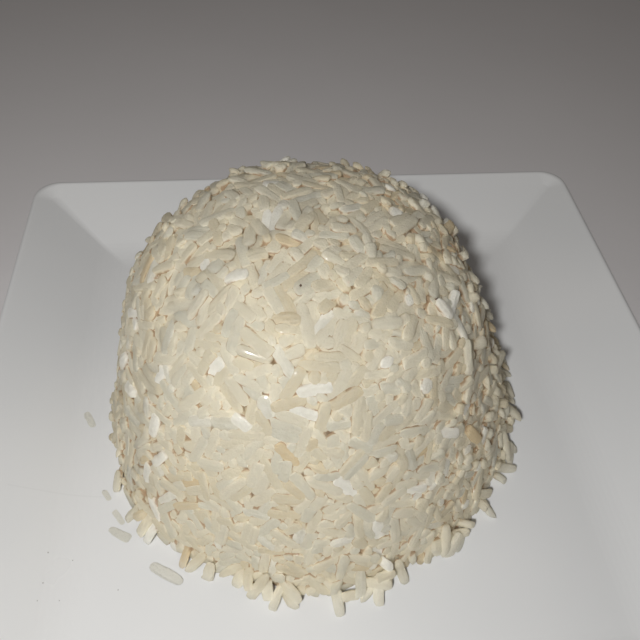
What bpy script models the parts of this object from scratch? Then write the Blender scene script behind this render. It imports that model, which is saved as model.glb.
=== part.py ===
"""A moulded mound of steamed white rice on a square white plate.

Units are metres and +Z is up. The plate's foot stands on z = 0 and the origin lies under
the middle of the plate. The rice is one body whose skin carries a bump for every grain, and
whole grains stick out of it where the outline is uneven.
"""

import math

import bmesh
import bpy
import numpy as np
from mathutils import Matrix, Vector
from mathutils.geometry import delaunay_2d_cdt
from mathutils.kdtree import KDTree

MM = 0.001
SEED = 41
TOUCH_GAP = 0.3 * MM                 # clear space between the rice and the plate

# The plate: a square dish with straight sloping walls that meet in sharp hips.
PLATE_SIDE = 200 * MM
PLATE_HEIGHT = 20 * MM
RIM_THICKNESS = 2.8 * MM
RIM_CORNER_RADIUS = 8 * MM
FLOOR_TOP = 8 * MM                   # height of the well's flat floor
FLOOR_HALF = 65 * MM                 # from the middle to where the floor starts to rise
FLOOR_CORNER_RADIUS = 1.2 * MM
FLOOR_BLEND_RADIUS = 30 * MM         # soft turn from the floor into the wall
WALL_SLOPE = math.radians(24)
HIP_END = 0.85                       # share of the wall whose hips stay sharp
UNDERSIDE_HEIGHT = 2.4 * MM          # where the sloping underside meets the foot ring
FOOT_HALF = 62 * MM
FOOT_WIDTH = 4 * MM
FOOT_FLARE = 2 * MM                  # how much wider the foot ring is at its top
FOOT_EDGE = 0.6 * MM                 # small bevel on the foot ring
FOOT_RECESS = 2.5 * MM
RECESS_SLOPE = 1 * MM
CORNER_STEPS = 4                     # straight facets round each corner
BLEND_STEPS = 3
RIM_BEARINGS = (114, 90, 45, 0, -45, -90)  # degrees round the lip, from its inner side

# The mound, as the bowl that moulded it left it: a flat top and sides that flare to the foot.
MOUND_HEIGHT = 70 * MM               # above the plate's floor
FOOT_RADIUS = 59.5 * MM
TOP_RADIUS = 37.9 * MM               # where the sides would meet the top without a shoulder
SHOULDER_POWER = 6.0                 # higher keeps the sides straight for longer
SHOULDER_ROUNDING = 2.2              # higher makes the shoulder squarer
MOUND_PLACE = (-4.9 * MM, 7.4 * MM)  # foot centre from the plate's centre
MOUND_LEAN = (-4.7 * MM, 6.1 * MM)   # how far the top has slid sideways
FOOT_OVAL = (1.1 * MM, 1.3 * MM)     # two-lobed unevenness of the foot, cosine and sine
FOOT_TRIANGLE = (-0.3 * MM, 0.9 * MM)  # three-lobed unevenness of the foot
SKIRT = 3 * MM                       # extra depth below the floor, cut off flat at the end
SKIRT_STEPS = 30
SKIRT_SIDES = 90
PROFILE_STEPS = 400

# Fuller and slumped places: bearing in degrees, height, outward amount and spread in mm.
SWELLS = [
    (170, 45, 1.4, 14),
    (39, 58, 1.2, 12),
    (359, 16, -0.6, 12),
    (220, 6, 1.4, 13),
    (166, 17, -1.3, 11),
    (19, 24, -1.9, 10),
    (241, 3, -1.4, 11),
    (288, 2, -1.3, 12),
    (82, 66, -1.0, 14),
]

# One cooked grain, long and slim.
GRAIN_LENGTH = 8.6 * MM
GRAIN_WIDTH = 2.3 * MM
GRAIN_SIDES = 5
GRAIN_RINGS = 4

# The skin's bumps: a ridge for each grain, and low points in the grooves between ridges.
# Each row is a ridge's length between its two high points, and how many are wanted.
RIDGES = [
    (5.2 * MM, 900),                 # grains that lie along the skin
    (2.6 * MM, 260),                 # half-buried grains
]
RIDGE_RISE = (-0.5 * MM, 0.6 * MM)   # lowest and highest ridge from the moulded form
RIDGE_TILT = 0.25 * MM               # how far a ridge's ends may rise and drop from its middle
RIDGE_CLEARANCE = 2.0 * MM           # between the middles of two ridges
RIDGE_SAMPLES = 5
GROOVE_COUNT = 1700
GROOVE_DEPTH = 0.7 * MM              # below the moulded form
GROOVE_WIDENING = 0.35               # extra depth for each bit of distance from a ridge
GROOVE_SPACING = 1.9 * MM            # from one low point to another
TRIES = 40000
MAP_STEP = 0.05 * MM                 # small step on the map, to find slopes
MAP_INSIDE = 0.985                   # share of the map that bumps may use
MAP_BORDER = 0.997                   # where the map's border ring lies

# Whole grains that stick out of the skin, fewer and flatter on the top than on the sides.
JUTTING_COUNT = 28
JUTTING_TILT = (10, 42)              # degrees out of the skin
JUTTING_OFFSET = (0.1 * MM, 1.0 * MM)  # from the skin to the grain's middle
JUTTING_HEIGHTS = (4 * MM, 49 * MM)  # between these they stand steep; above, fewer and flat
TOP_SHARE = 0.5
TOP_FLATNESS = 0.45

# Whole grains that lie round the foot, most of them along the front and the right.
FOOT_GRAIN_COUNT = 20
FOOT_BEARINGS = (-150, 10)           # degrees
FOOT_ANYWHERE = 4                    # one foot grain in this many lies at any bearing
FOOT_SPREAD = (-0.8 * MM, 2.8 * MM)  # from the foot's edge to the grain's middle
FOOT_SWING = 80                      # degrees either way from lying along the edge
FOOT_LIFT = 1.2 * MM
FLOOR_SINK = 0.36                    # height of a lying grain's middle, as a share of its width
FLOOR_TILT = 0.12                    # steepest rise of a grain that reaches the floor

# Grains whose place shows in the outline: bearing, height, outward lean and turn in degrees.
SPURS = [
    (346, 8.5, 44, -135),
    (336, 5.0, 10, -120),
    (331, 1.5, 66, 30),
    (318, 1.2, 20, -105),
    (256, 1.2, 50, 90),
    (270, 1.2, 40, -90),
    (280, 1.2, 20, -105),
    (280, 2.5, 30, 0),
    (12, 20.0, 40, -45),
    (350, 24.0, 20, -15),
]
SPUR_OFFSET = 1.2 * MM               # from the skin to a spur's middle

# Grains lying loose on the plate: x, y and length in mm, and bearing in degrees.
STRAYS = [
    (-46.9, -42.7, 9.8, -32),
    (-59.5, -31.5, 6.6, -31),
    (-60.2, -26.9, 5.0, -54),
    (-64.0, -20.4, 3.6, -57),
    (-71.3, 3.4, 5.6, -61),
]
STRAY_CLEARANCE = 3.4 * MM           # from a stray's middle line to that of a mound grain
STRAY_SINK = 0.35                    # share of a stray's thickness that is pressed into the glaze

PORCELAIN = (0.62, 0.61, 0.60, 1.0)
RICE = (0.74, 0.69, 0.56, 1.0)


def clear_scene():
    for thing in list(bpy.data.objects):
        bpy.data.objects.remove(thing, do_unlink=True)


def new_collection(name):
    collection = bpy.data.collections.new(name)
    bpy.context.scene.collection.children.link(collection)
    return collection


def new_material(name, colour, roughness, coat):
    material = bpy.data.materials.new(name)
    material.use_nodes = True
    shader = material.node_tree.nodes["Principled BSDF"]
    shader.inputs["Base Color"].default_value = colour
    shader.inputs["Roughness"].default_value = roughness
    shader.inputs["Metallic"].default_value = 0.0
    shader.inputs["Coat Weight"].default_value = coat
    material.diffuse_color = colour
    return material


def object_from_bmesh(name, bm, collection):
    """Turns a bmesh into a named object and frees it."""
    bm.normal_update()
    mesh = bpy.data.meshes.new(name)
    bm.to_mesh(mesh)
    bm.free()
    thing = bpy.data.objects.new(name, mesh)
    collection.objects.link(thing)
    return thing


# Plate


def rounded_square(half, corner_radius, height):
    """Points of a square ring with round corners, anticlockwise from the +X side."""
    points = []
    for corner in range(4):
        turn = corner * math.pi / 2
        middle = Vector((half - corner_radius, half - corner_radius, height))
        for step in range(CORNER_STEPS + 1):
            angle = step / CORNER_STEPS * math.pi / 2
            reach = Vector((math.cos(angle), math.sin(angle), 0)) * corner_radius
            points.append(Matrix.Rotation(turn, 3, "Z") @ (middle + reach))
    return points


def wall_top(half):
    """Height of the dish's upper face at this distance from the middle, before the rim."""
    blend_end = FLOOR_HALF + FLOOR_BLEND_RADIUS * math.sin(WALL_SLOPE)
    if half <= FLOOR_HALF:
        return FLOOR_TOP
    if half <= blend_end:
        across = half - FLOOR_HALF
        drop = math.sqrt(FLOOR_BLEND_RADIUS ** 2 - across ** 2)
        return FLOOR_TOP + FLOOR_BLEND_RADIUS - drop
    blend_rise = FLOOR_BLEND_RADIUS * (1 - math.cos(WALL_SLOPE))
    return FLOOR_TOP + blend_rise + (half - blend_end) * math.tan(WALL_SLOPE)


def plate_stations():
    """The plate's half section, from the floor's edge over the rim and under to the foot.

    Each station is half a side, a corner radius and a height."""
    stations = [(FLOOR_HALF, FLOOR_CORNER_RADIUS, FLOOR_TOP)]
    for step in range(1, BLEND_STEPS + 1):
        half = FLOOR_HALF + FLOOR_BLEND_RADIUS * math.sin(WALL_SLOPE * step / BLEND_STEPS)
        stations.append((half, FLOOR_CORNER_RADIUS, wall_top(half)))
    lip = RIM_THICKNESS / 2
    lip_middle = PLATE_SIDE / 2 - lip
    wall_end = FLOOR_HALF + (lip_middle - FLOOR_HALF) * HIP_END
    stations.append((wall_end, FLOOR_CORNER_RADIUS * 2, wall_top(wall_end)))
    lip_height = PLATE_HEIGHT - lip
    for degrees in RIM_BEARINGS:
        angle = math.radians(degrees)
        half = lip_middle + lip * math.cos(angle)
        stations.append((half, RIM_CORNER_RADIUS, lip_height + lip * math.sin(angle)))
    inner = FOOT_HALF - FOOT_WIDTH
    for half, height in (
        (FOOT_HALF + FOOT_FLARE, UNDERSIDE_HEIGHT),
        (FOOT_HALF, FOOT_EDGE),
        (FOOT_HALF - FOOT_EDGE, 0.0),
        (inner, 0.0),
        (inner - RECESS_SLOPE, FOOT_RECESS),
    ):
        stations.append((half, RIM_CORNER_RADIUS, height))
    return stations


def plate_body(collection):
    """Joins the stations' rings with faces, and closes the floor and the underside."""
    bm = bmesh.new()
    rings = []
    for half, corner_radius, height in plate_stations():
        ring = [bm.verts.new(point) for point in rounded_square(half, corner_radius, height)]
        rings.append(ring)
    for inner, outer in zip(rings, rings[1:]):
        count = len(inner)
        for i in range(count):
            j = (i + 1) % count
            bm.faces.new((inner[i], outer[i], outer[j], inner[j]))
    bm.faces.new(rings[0])
    bm.faces.new(list(reversed(rings[-1])))
    return object_from_bmesh("plate", bm, collection)


# Grains


def make_grain(name, middle, direction, length, width, collection):
    """A plump rod with round ends: a ball with few sides, drawn out along its direction."""
    bm = bmesh.new()
    bmesh.ops.create_uvsphere(bm, u_segments=GRAIN_SIDES, v_segments=GRAIN_RINGS, radius=0.5)
    bmesh.ops.scale(bm, vec=(width, width, length), verts=bm.verts)
    turn = Vector(direction).to_track_quat("Z", "Y").to_matrix().to_4x4()
    bm.transform(Matrix.Translation(middle) @ turn)
    return object_from_bmesh(name, bm, collection)


def join_grains(body, grains):
    """Unites the body with every grain in the collection, then removes those grains."""
    union = body.modifiers.new("grains", "BOOLEAN")
    union.operation = "UNION"
    union.solver = "EXACT"
    union.operand_type = "COLLECTION"
    union.collection = grains
    graph = bpy.context.evaluated_depsgraph_get()
    joined = bpy.data.meshes.new_from_object(body.evaluated_get(graph))
    body.modifiers.clear()
    body.data = joined
    for grain in list(grains.objects):
        bpy.data.objects.remove(grain, do_unlink=True)
    bpy.data.collections.remove(grains)


def keep_outer_skin(bm):
    """Keeps the largest connected skin, so sealed hollows are filled and scraps are dropped."""
    unseen = set(bm.verts)
    skins = []
    while unseen:
        skin = []
        edge_of_search = [unseen.pop()]
        while edge_of_search:
            vert = edge_of_search.pop()
            skin.append(vert)
            for edge in vert.link_edges:
                other = edge.other_vert(vert)
                if other in unseen:
                    unseen.remove(other)
                    edge_of_search.append(other)
        skins.append(skin)
    skins.sort(key=len)
    for skin in skins[:-1]:
        bmesh.ops.delete(bm, geom=skin, context="VERTS")


# Mound


def profile_radius(height):
    """Distance from the mound's axis at this height: straight flared sides, round shoulder."""
    share = np.clip(height / MOUND_HEIGHT, None, 1.0)
    flared = FOOT_RADIUS + (TOP_RADIUS - FOOT_RADIUS) * share
    powered = np.abs(share) ** SHOULDER_POWER * (share > 0)
    return flared * (1 - powered) ** (1 / SHOULDER_ROUNDING)


def axis_at(height):
    """Where the leaning mound's axis is at this height."""
    share = height / MOUND_HEIGHT
    return MOUND_PLACE[0] + MOUND_LEAN[0] * share, MOUND_PLACE[1] + MOUND_LEAN[1] * share


def mould_points(bearing, radius, height):
    """The moulded form's points, with the lean, the uneven foot and the swells added."""
    share = height / MOUND_HEIGHT
    axis_x, axis_y = axis_at(height)
    lobes = FOOT_OVAL[0] * np.cos(2 * bearing) + FOOT_OVAL[1] * np.sin(2 * bearing)
    lobes = lobes + FOOT_TRIANGLE[0] * np.cos(3 * bearing)
    lobes = lobes + FOOT_TRIANGLE[1] * np.sin(3 * bearing)
    radius = radius + lobes * (1 - share) * np.clip(radius / TOP_RADIUS, 0, 1)
    x = axis_x + radius * np.cos(bearing)
    y = axis_y + radius * np.sin(bearing)
    points = np.stack([x, y, FLOOR_TOP + height], axis=-1)
    push = np.zeros_like(points)
    for swell_bearing, swell_height, amount, spread in SWELLS:
        angle = math.radians(swell_bearing)
        outward = np.array([math.cos(angle), math.sin(angle), 0.0])
        foot = np.array([*axis_at(swell_height * MM), FLOOR_TOP + swell_height * MM])
        middle = foot + outward * profile_radius(swell_height * MM)
        away = np.sum((points - middle) ** 2, axis=-1)
        strength = amount * MM * np.exp(-away / (2 * (spread * MM) ** 2))
        push = push + strength[..., None] * outward
    return points + push


def skin_table():
    """The profile from the top's middle to the skirt, with two running totals.

    One is the area above each step. The other is the step's distance from the middle of a
    round map of the skin. It grows by the profile's length over its radius, compounded, so
    the map keeps every angle and a bump on it is never squashed."""
    down = MOUND_HEIGHT * (1 - np.linspace(0, 1, PROFILE_STEPS) ** 3)
    height = np.concatenate([down[1:-1], np.linspace(0, -SKIRT, SKIRT_STEPS)])
    radius = profile_radius(height)
    step = np.hypot(np.diff(radius), np.diff(height))
    mean = (radius[1:] + radius[:-1]) / 2
    area = np.cumsum(np.concatenate([[radius[0] ** 2 / 2], step * mean]))
    spread = radius[0] * np.exp(np.cumsum(np.concatenate([[0.0], step / mean])))
    table = {"radius": radius, "height": height, "area": area, "map": spread}
    top = {"radius": 0.0, "height": MOUND_HEIGHT, "area": 0.0, "map": 0.0}
    return {key: np.concatenate([[top[key]], table[key]]) for key in table}


def to_skin(spots, table):
    """Carries map spots to the moulded form: places, outward directions and map scale."""

    def place(x, y):
        away = np.hypot(x, y)
        radius = np.interp(away, table["map"], table["radius"])
        height = np.interp(away, table["map"], table["height"])
        return mould_points(np.arctan2(y, x), radius, height)

    x, y = spots[:, 0], spots[:, 1]
    middle = place(x, y)
    slope_x = place(x + MAP_STEP, y) - place(x - MAP_STEP, y)
    slope_y = place(x, y + MAP_STEP) - place(x, y - MAP_STEP)
    outward = np.cross(slope_x, slope_y)
    outward /= np.linalg.norm(outward, axis=1, keepdims=True)
    scale = 4 * MAP_STEP / (np.linalg.norm(slope_x, axis=1) + np.linalg.norm(slope_y, axis=1))
    return middle, outward, scale


def random_spots(rng, table, count):
    """Map spots that lie evenly spread on the skin itself."""
    away = np.interp(rng.uniform(0, table["area"][-1], count), table["area"], table["map"])
    bearing = rng.uniform(0, 2 * math.pi, count)
    return np.stack([away * np.cos(bearing), away * np.sin(bearing)], axis=1)


def scatter_ridges(rng, table):
    """Drops ridges one by one and keeps those that lie clear of the others.

    Returns the map spots of the two ends of each kept ridge, and its sample places."""
    ends = []
    samples = np.zeros((0, RIDGE_SAMPLES, 3))
    for span, wanted in RIDGES:
        spots = random_spots(rng, table, TRIES)
        scale = to_skin(spots, table)[2]
        turn = rng.uniform(0, 2 * math.pi, TRIES)
        half = np.stack([np.cos(turn), np.sin(turn)], axis=1) * (span / 2 * scale)[:, None]
        along = np.linspace(-1, 1, RIDGE_SAMPLES)
        line = spots[:, None] + half[:, None] * along[None, :, None]
        tried = to_skin(line.reshape(-1, 2), table)[0].reshape(TRIES, RIDGE_SAMPLES, 3)
        outermost = np.max(np.linalg.norm(line, axis=2), axis=1)
        kept = 0
        for i in np.flatnonzero(outermost < table["map"][-1] * MAP_INSIDE):
            middles = samples[:, RIDGE_SAMPLES // 2]
            reach = RIDGES[0][0] + RIDGE_CLEARANCE
            apart = np.abs(middles - tried[i, RIDGE_SAMPLES // 2]).max(axis=1)
            near = samples[apart < reach].reshape(-1, 1, 3)
            if near.size and np.min(np.sum((near - tried[i]) ** 2, axis=2)) < RIDGE_CLEARANCE ** 2:
                continue
            samples = np.concatenate([samples, tried[i:i + 1]])
            ends.append((line[i, 0], line[i, -1]))
            kept += 1
            if kept == wanted:
                break
    return np.array(ends), samples


def scatter_grooves(rng, table, ridge_samples):
    """Low points in what the ridges leave free, the roomiest places first.

    Returns their map spots and how far each is from the nearest ridge."""
    tree = KDTree(ridge_samples.size // 3)
    for index, place in enumerate(ridge_samples.reshape(-1, 3)):
        tree.insert(place, index)
    tree.balance()
    spots = random_spots(rng, table, TRIES)
    places = to_skin(spots, table)[0]
    room = np.array([tree.find(place)[2] for place in places])
    kept = []
    inside = np.hypot(spots[:, 0], spots[:, 1]) < table["map"][-1] * MAP_INSIDE
    for i in np.argsort(-room * inside):
        apart = np.sum((places[kept] - places[i]) ** 2, axis=1)
        if kept and np.min(apart) < GROOVE_SPACING ** 2:
            continue
        kept.append(i)
        if len(kept) == GROOVE_COUNT:
            break
    return spots[kept], room[kept]


def mound_skin(rng, table, collection):
    """The closed body with a bump for every grain.

    The points are joined into triangles on the map, where each ridge is an edge that has to
    stay, and each is then carried to its place on the skin and raised or lowered."""
    ends, ridge_samples = scatter_ridges(rng, table)
    grooves, room = scatter_grooves(rng, table, ridge_samples)
    turn = np.linspace(0, 2 * math.pi, SKIRT_SIDES, endpoint=False)
    border = np.stack([np.cos(turn), np.sin(turn)], axis=1) * table["map"][-1] * MAP_BORDER
    spots = np.concatenate([ends.reshape(-1, 2), grooves, border])
    rise = np.repeat(rng.uniform(*RIDGE_RISE, size=len(ends)), 2)
    tilt = np.repeat(rng.uniform(-1, 1, size=len(ends)) * RIDGE_TILT, 2)
    tilt[1::2] *= -1
    drop = GROOVE_DEPTH + GROOVE_WIDENING * room
    lift = np.concatenate([rise + tilt, -drop, np.zeros(SKIRT_SIDES)])
    middle, outward, scale = to_skin(spots, table)
    places = middle + outward * lift[:, None]
    places[-SKIRT_SIDES:, 2] = FLOOR_TOP - SKIRT
    edges = [(2 * i, 2 * i + 1) for i in range(len(ends))]
    flat = delaunay_2d_cdt([Vector(spot) for spot in spots], edges, [], 0, 1e-9)
    bm = bmesh.new()
    verts = [bm.verts.new(places[sources[0]]) for sources in flat[3]]
    for face in flat[2]:
        bm.faces.new([verts[i] for i in face])
    rim = [edge for edge in bm.edges if edge.is_boundary]
    bmesh.ops.holes_fill(bm, edges=rim, sides=0)
    bmesh.ops.recalc_face_normals(bm, faces=bm.faces[:])
    print("ridges", len(ends), "low points", len(grooves), "faces", len(bm.faces))
    return object_from_bmesh("rice_mound", bm, collection)


def lying_directions(rng, outward):
    """A random direction in the skin's own plane at each place."""
    loose = rng.normal(size=outward.shape)
    flat = loose - outward * np.sum(loose * outward, axis=1, keepdims=True)
    return flat / np.linalg.norm(flat, axis=1, keepdims=True)


def skin_at(bearing, height):
    """One place on the skin, with its outward, level and uphill directions."""
    turn = math.radians(bearing)
    around = np.array([turn, turn + 1e-3, turn])
    heights = np.array([height, height, height + 0.05 * MM])
    place, beside, above = mould_points(around, profile_radius(heights), heights)
    level = Vector(beside - place).normalized()
    uphill = Vector(above - place).normalized()
    return Vector(place), level.cross(uphill).normalized(), level, uphill


def rod_points(middle, direction, length):
    """Points along a grain's middle line, from end to end."""
    shares = np.linspace(-0.5, 0.5, RIDGE_SAMPLES)[:, None]
    return np.array(middle) + shares * length * np.array(direction)


def stray_rods():
    """Middle, direction and length of each grain that lies loose on the plate."""
    for x, y, length, bearing in STRAYS:
        turn = math.radians(bearing)
        ground = wall_top(max(abs(x), abs(y)) * MM)
        middle = Vector((x * MM, y * MM, ground + GRAIN_WIDTH * (0.5 - STRAY_SINK)))
        yield middle, Vector((math.cos(turn), math.sin(turn), 0)), length * MM


def clear_of_strays(middle, direction, length):
    """Whether a grain of the mound keeps off every loose grain on the plate."""
    rod = rod_points(middle, direction, length)
    for stray in stray_rods():
        gaps = rod[:, None] - rod_points(*stray)[None]
        if np.min(np.sum(gaps ** 2, axis=2)) < STRAY_CLEARANCE ** 2:
            return False
    return True


def on_floor(middle, direction, length):
    """Lifts a grain so that it lies on the plate's floor and does not go through it."""
    lowest = FLOOR_TOP + TOUCH_GAP + GRAIN_WIDTH * FLOOR_SINK
    if middle.z - abs(direction.z) * length / 2 < lowest:
        direction.z = math.copysign(min(abs(direction.z), FLOOR_TILT), direction.z)
        direction.normalize()
        middle.z = max(middle.z, lowest + abs(direction.z) * length / 2)
    return middle, direction


def add_grain(name, middle, direction, length, grains):
    """Adds a grain of the mound where it clears the plate's floor and the loose grains."""
    middle, direction = on_floor(middle, direction.normalized(), length)
    if clear_of_strays(middle, direction, length):
        make_grain(name, middle, direction, length, GRAIN_WIDTH, grains)


def add_jutting_grains(rng, table, grains):
    """Whole grains that leave the skin at a slant, anywhere on the mound."""
    places, outward, scale = to_skin(random_spots(rng, table, JUTTING_COUNT * 6), table)
    lowest, steep_below = (FLOOR_TOP + height for height in JUTTING_HEIGHTS)
    made = 0
    for place, normal, flat in zip(places, outward, lying_directions(rng, outward)):
        on_top = place[2] > steep_below
        if place[2] < lowest or (on_top and rng.uniform() > TOP_SHARE):
            continue
        tilt = math.radians(rng.uniform(*JUTTING_TILT)) * (TOP_FLATNESS if on_top else 1)
        direction = Vector(flat) * math.cos(tilt) + Vector(normal) * math.sin(tilt)
        middle = Vector(place) + Vector(normal) * rng.uniform(*JUTTING_OFFSET)
        length = GRAIN_LENGTH * rng.uniform(0.85, 1.1)
        add_grain(f"jutting_{made}", middle, direction, length, grains)
        made += 1
        if made == JUTTING_COUNT:
            break


def add_foot_grains(rng, grains):
    """Whole grains that lie on the floor against the mound's foot."""
    start, end = FOOT_BEARINGS
    for index in range(FOOT_GRAIN_COUNT):
        bearing = start + (end - start) * (index + rng.uniform()) / FOOT_GRAIN_COUNT
        if index % FOOT_ANYWHERE == 0:
            bearing = rng.uniform(0, 360)
        place, normal, level, uphill = skin_at(bearing, FOOT_LIFT)
        away = Vector((normal.x, normal.y, 0))
        swing = math.radians(rng.uniform(-FOOT_SWING, FOOT_SWING))
        direction = level * math.cos(swing) + away * math.sin(swing)
        length = GRAIN_LENGTH * rng.uniform(0.8, 1.0)
        middle = place + away * rng.uniform(*FOOT_SPREAD)
        add_grain(f"foot_{index}", middle, direction, length, grains)


def add_spurs(grains):
    """The grains whose own place shows in the outline."""
    for index, (bearing, height, lean, turn) in enumerate(SPURS):
        place, normal, level, uphill = skin_at(bearing, height * MM)
        swing = math.radians(turn)
        flat = level * math.cos(swing) + uphill * math.sin(swing)
        out = math.radians(lean)
        direction = flat * math.cos(out) + normal * math.sin(out)
        add_grain(f"spur_{index}", place + normal * SPUR_OFFSET, direction, GRAIN_LENGTH, grains)


def finish_mound(mound):
    """Cuts the skirt off just above the plate's floor and closes the mound's underside."""
    bm = bmesh.new()
    bm.from_mesh(mound.data)
    keep_outer_skin(bm)
    bmesh.ops.bisect_plane(
        bm,
        geom=bm.verts[:] + bm.edges[:] + bm.faces[:],
        dist=1e-6,
        plane_co=(0, 0, FLOOR_TOP + TOUCH_GAP),
        plane_no=(0, 0, 1),
        clear_inner=True,
    )
    border = [edge for edge in bm.edges if edge.is_boundary]
    bmesh.ops.holes_fill(bm, edges=border, sides=0)
    keep_outer_skin(bm)
    bmesh.ops.triangulate(bm, faces=bm.faces[:])
    bmesh.ops.recalc_face_normals(bm, faces=bm.faces[:])
    bm.to_mesh(mound.data)
    bm.free()


def build_mound(rng, collection):
    table = skin_table()
    mound = mound_skin(rng, table, collection)
    grains = new_collection("mound_grains")
    add_jutting_grains(rng, table, grains)
    add_foot_grains(rng, grains)
    add_spurs(grains)
    join_grains(mound, grains)
    finish_mound(mound)
    mound.data.materials.clear()
    mound.data.materials.append(new_material("rice", RICE, 0.5, 0.2))
    return mound


def build_plate(collection):
    plate = plate_body(collection)
    grains = new_collection("stray_grains")
    for index, (middle, direction, length) in enumerate(stray_rods()):
        make_grain(f"stray_{index}", middle, direction, length, GRAIN_WIDTH, grains)
    join_grains(plate, grains)
    bm = bmesh.new()
    bm.from_mesh(plate.data)
    keep_outer_skin(bm)
    bmesh.ops.triangulate(bm, faces=bm.faces[:])
    bm.to_mesh(plate.data)
    bm.free()
    plate.data.materials.clear()
    plate.data.materials.append(new_material("porcelain", PORCELAIN, 0.15, 0.6))
    plate.data.shade_smooth()
    plate.data.set_sharp_from_angle(angle=math.radians(30))
    return plate


def main():
    clear_scene()
    collection = new_collection("steamed_white_rice")
    rng = np.random.default_rng(SEED)
    for thing in (build_plate(collection), build_mound(rng, collection)):
        print(thing.name, "triangles", len(thing.data.polygons))


main()
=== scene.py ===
# %% [markdown]
# # Steamed white rice on a square plate
#
# The dish is a mound of long-grain rice that a bowl has moulded, turned out on a square
# porcelain plate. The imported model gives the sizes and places. This script loads it first, and
# then builds what the eye sees over it: thousands of separate grains, and a glazed plate.

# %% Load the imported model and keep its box
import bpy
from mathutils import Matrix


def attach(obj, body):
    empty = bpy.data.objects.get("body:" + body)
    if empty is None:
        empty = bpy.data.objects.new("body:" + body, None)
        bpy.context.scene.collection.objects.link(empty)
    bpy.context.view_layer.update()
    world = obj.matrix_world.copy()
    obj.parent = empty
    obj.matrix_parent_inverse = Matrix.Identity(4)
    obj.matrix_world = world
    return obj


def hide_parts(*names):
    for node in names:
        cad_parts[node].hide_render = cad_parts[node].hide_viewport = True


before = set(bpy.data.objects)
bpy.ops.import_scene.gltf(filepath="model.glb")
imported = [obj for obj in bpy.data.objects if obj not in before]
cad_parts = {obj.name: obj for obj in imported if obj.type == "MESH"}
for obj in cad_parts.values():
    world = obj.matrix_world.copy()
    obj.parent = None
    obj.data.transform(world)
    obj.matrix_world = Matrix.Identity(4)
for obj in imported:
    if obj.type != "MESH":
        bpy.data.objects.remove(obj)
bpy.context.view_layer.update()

# %% Other modules
import math

import bpy
import numpy as np
from mathutils import Matrix, Vector

MM = 0.001  # one millimetre in Blender's metres
MAP = "OFBake"  # name of the texture map of the small pieces
rng = np.random.default_rng(1207)

# %% [markdown]
# ## Camera
#
# The photograph was taken from close by, about 17 cm above the plate, looking down at 50
# degrees with the phone turned a little. The four edges of the plate fix the place and the
# lens, and the camera is made first, so that every piece can be compared with the photograph.

# %% Camera
FLOOR_TOP = 8.0  # height of the plate's flat floor, in millimetres
CAMERA_PLACE = (-21.2, -103.0, FLOOR_TOP + 169.6)
CAMERA_YAW = 8.32  # degrees, turned to the right of straight ahead
CAMERA_DOWN = 49.98
CAMERA_ROLL = 3.89
CAMERA_LENS = 37.125  # on a sensor 36 mm wide


def turned(axis, degrees):
    return Matrix.Rotation(math.radians(degrees), 4, axis)


camera_data = bpy.data.cameras.new("camera")
camera_data.sensor_width = 36.0
camera_data.lens = CAMERA_LENS
camera_data.clip_start = 0.01
camera = bpy.data.objects.new("camera", camera_data)
bpy.context.scene.collection.objects.link(camera)
aim = turned("Z", -CAMERA_YAW) @ turned("X", 90 - CAMERA_DOWN) @ turned("Z", CAMERA_ROLL)
camera.matrix_world = Matrix.Translation(Vector(CAMERA_PLACE) * MM) @ aim
bpy.context.scene.camera = camera
print("camera at", [round(value, 4) for value in camera.matrix_world.translation])

# %% [markdown]
# ## From arrays to a mesh
#
# Nearly every shape here is one closed surface of the same kind: rings of points that follow
# each other, with one tip that closes each end. A grain, a speck, the heap's core and even the
# plate are such surfaces. So one helper gives their faces, and another turns points and faces,
# worked out as whole numpy arrays in millimetres, into a Blender object in metres. Values that
# belong to points, such as a grain's own tone, go along as named attributes, because a material
# can read those.

# %% Faces of closed surfaces


def closed_faces(rings, sides, count=1):
    """Quads and triangles of equal closed surfaces, and where their corners are, unrolled.

    Point (ring, side) has the number ring * sides + side, and the first and last tips come
    after the rings. A corner unrolls to (ring + 1) / (rings + 1) and side / sides. The rings
    run anticlockwise round the way they follow each other, so that the faces look outwards."""
    ring, side = np.meshgrid(np.arange(rings - 1), np.arange(sides), indexing="ij")
    ring, side = ring.reshape(-1, 1), side.reshape(-1, 1)
    ring_of = ring + np.array([0, 0, 1, 1])
    side_of = side + np.array([0, 1, 1, 0])
    quads = ring_of * sides + side_of % sides
    quad_places = np.stack([(ring_of + 1) / (rings + 1), side_of / sides], axis=2)
    side = np.arange(sides)[:, None]
    fan = side + np.array([[0, 1, 0]])
    fan_share = (side + np.array([[0.5, 1, 0]])) / sides
    first = np.where(np.arange(3) == 0, rings * sides, fan % sides)
    last = np.where(np.arange(3) == 0, rings * sides + 1, (rings - 1) * sides + fan % sides)
    near, far = 1 / (rings + 1), rings / (rings + 1)
    first_places = np.stack(np.broadcast_arrays([0, near, near], fan_share), axis=2)
    last_places = np.stack(np.broadcast_arrays([1, far, far], fan_share), axis=2)
    tips = np.concatenate([first, last[:, ::-1]])
    tip_places = np.concatenate([first_places, last_places[:, ::-1]])
    start = np.arange(count)[:, None, None] * (rings * sides + 2)
    faces = [(start + quads).reshape(-1, 4), (start + tips).reshape(-1, 3)]
    places = [np.tile(quad_places, (count, 1, 1)), np.tile(tip_places, (count, 1, 1))]
    return faces, places


# %% Mesh helpers


def corner_points(faces):
    """The number of the point at each face corner."""
    return np.concatenate([group.ravel() for group in faces])


def per_corner(values, faces):
    """Repeats values of faces, one array for each group, for all corners of each face."""
    return np.concatenate([
        np.repeat(own, group.shape[1], axis=0) for own, group in zip(values, faces)])


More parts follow.
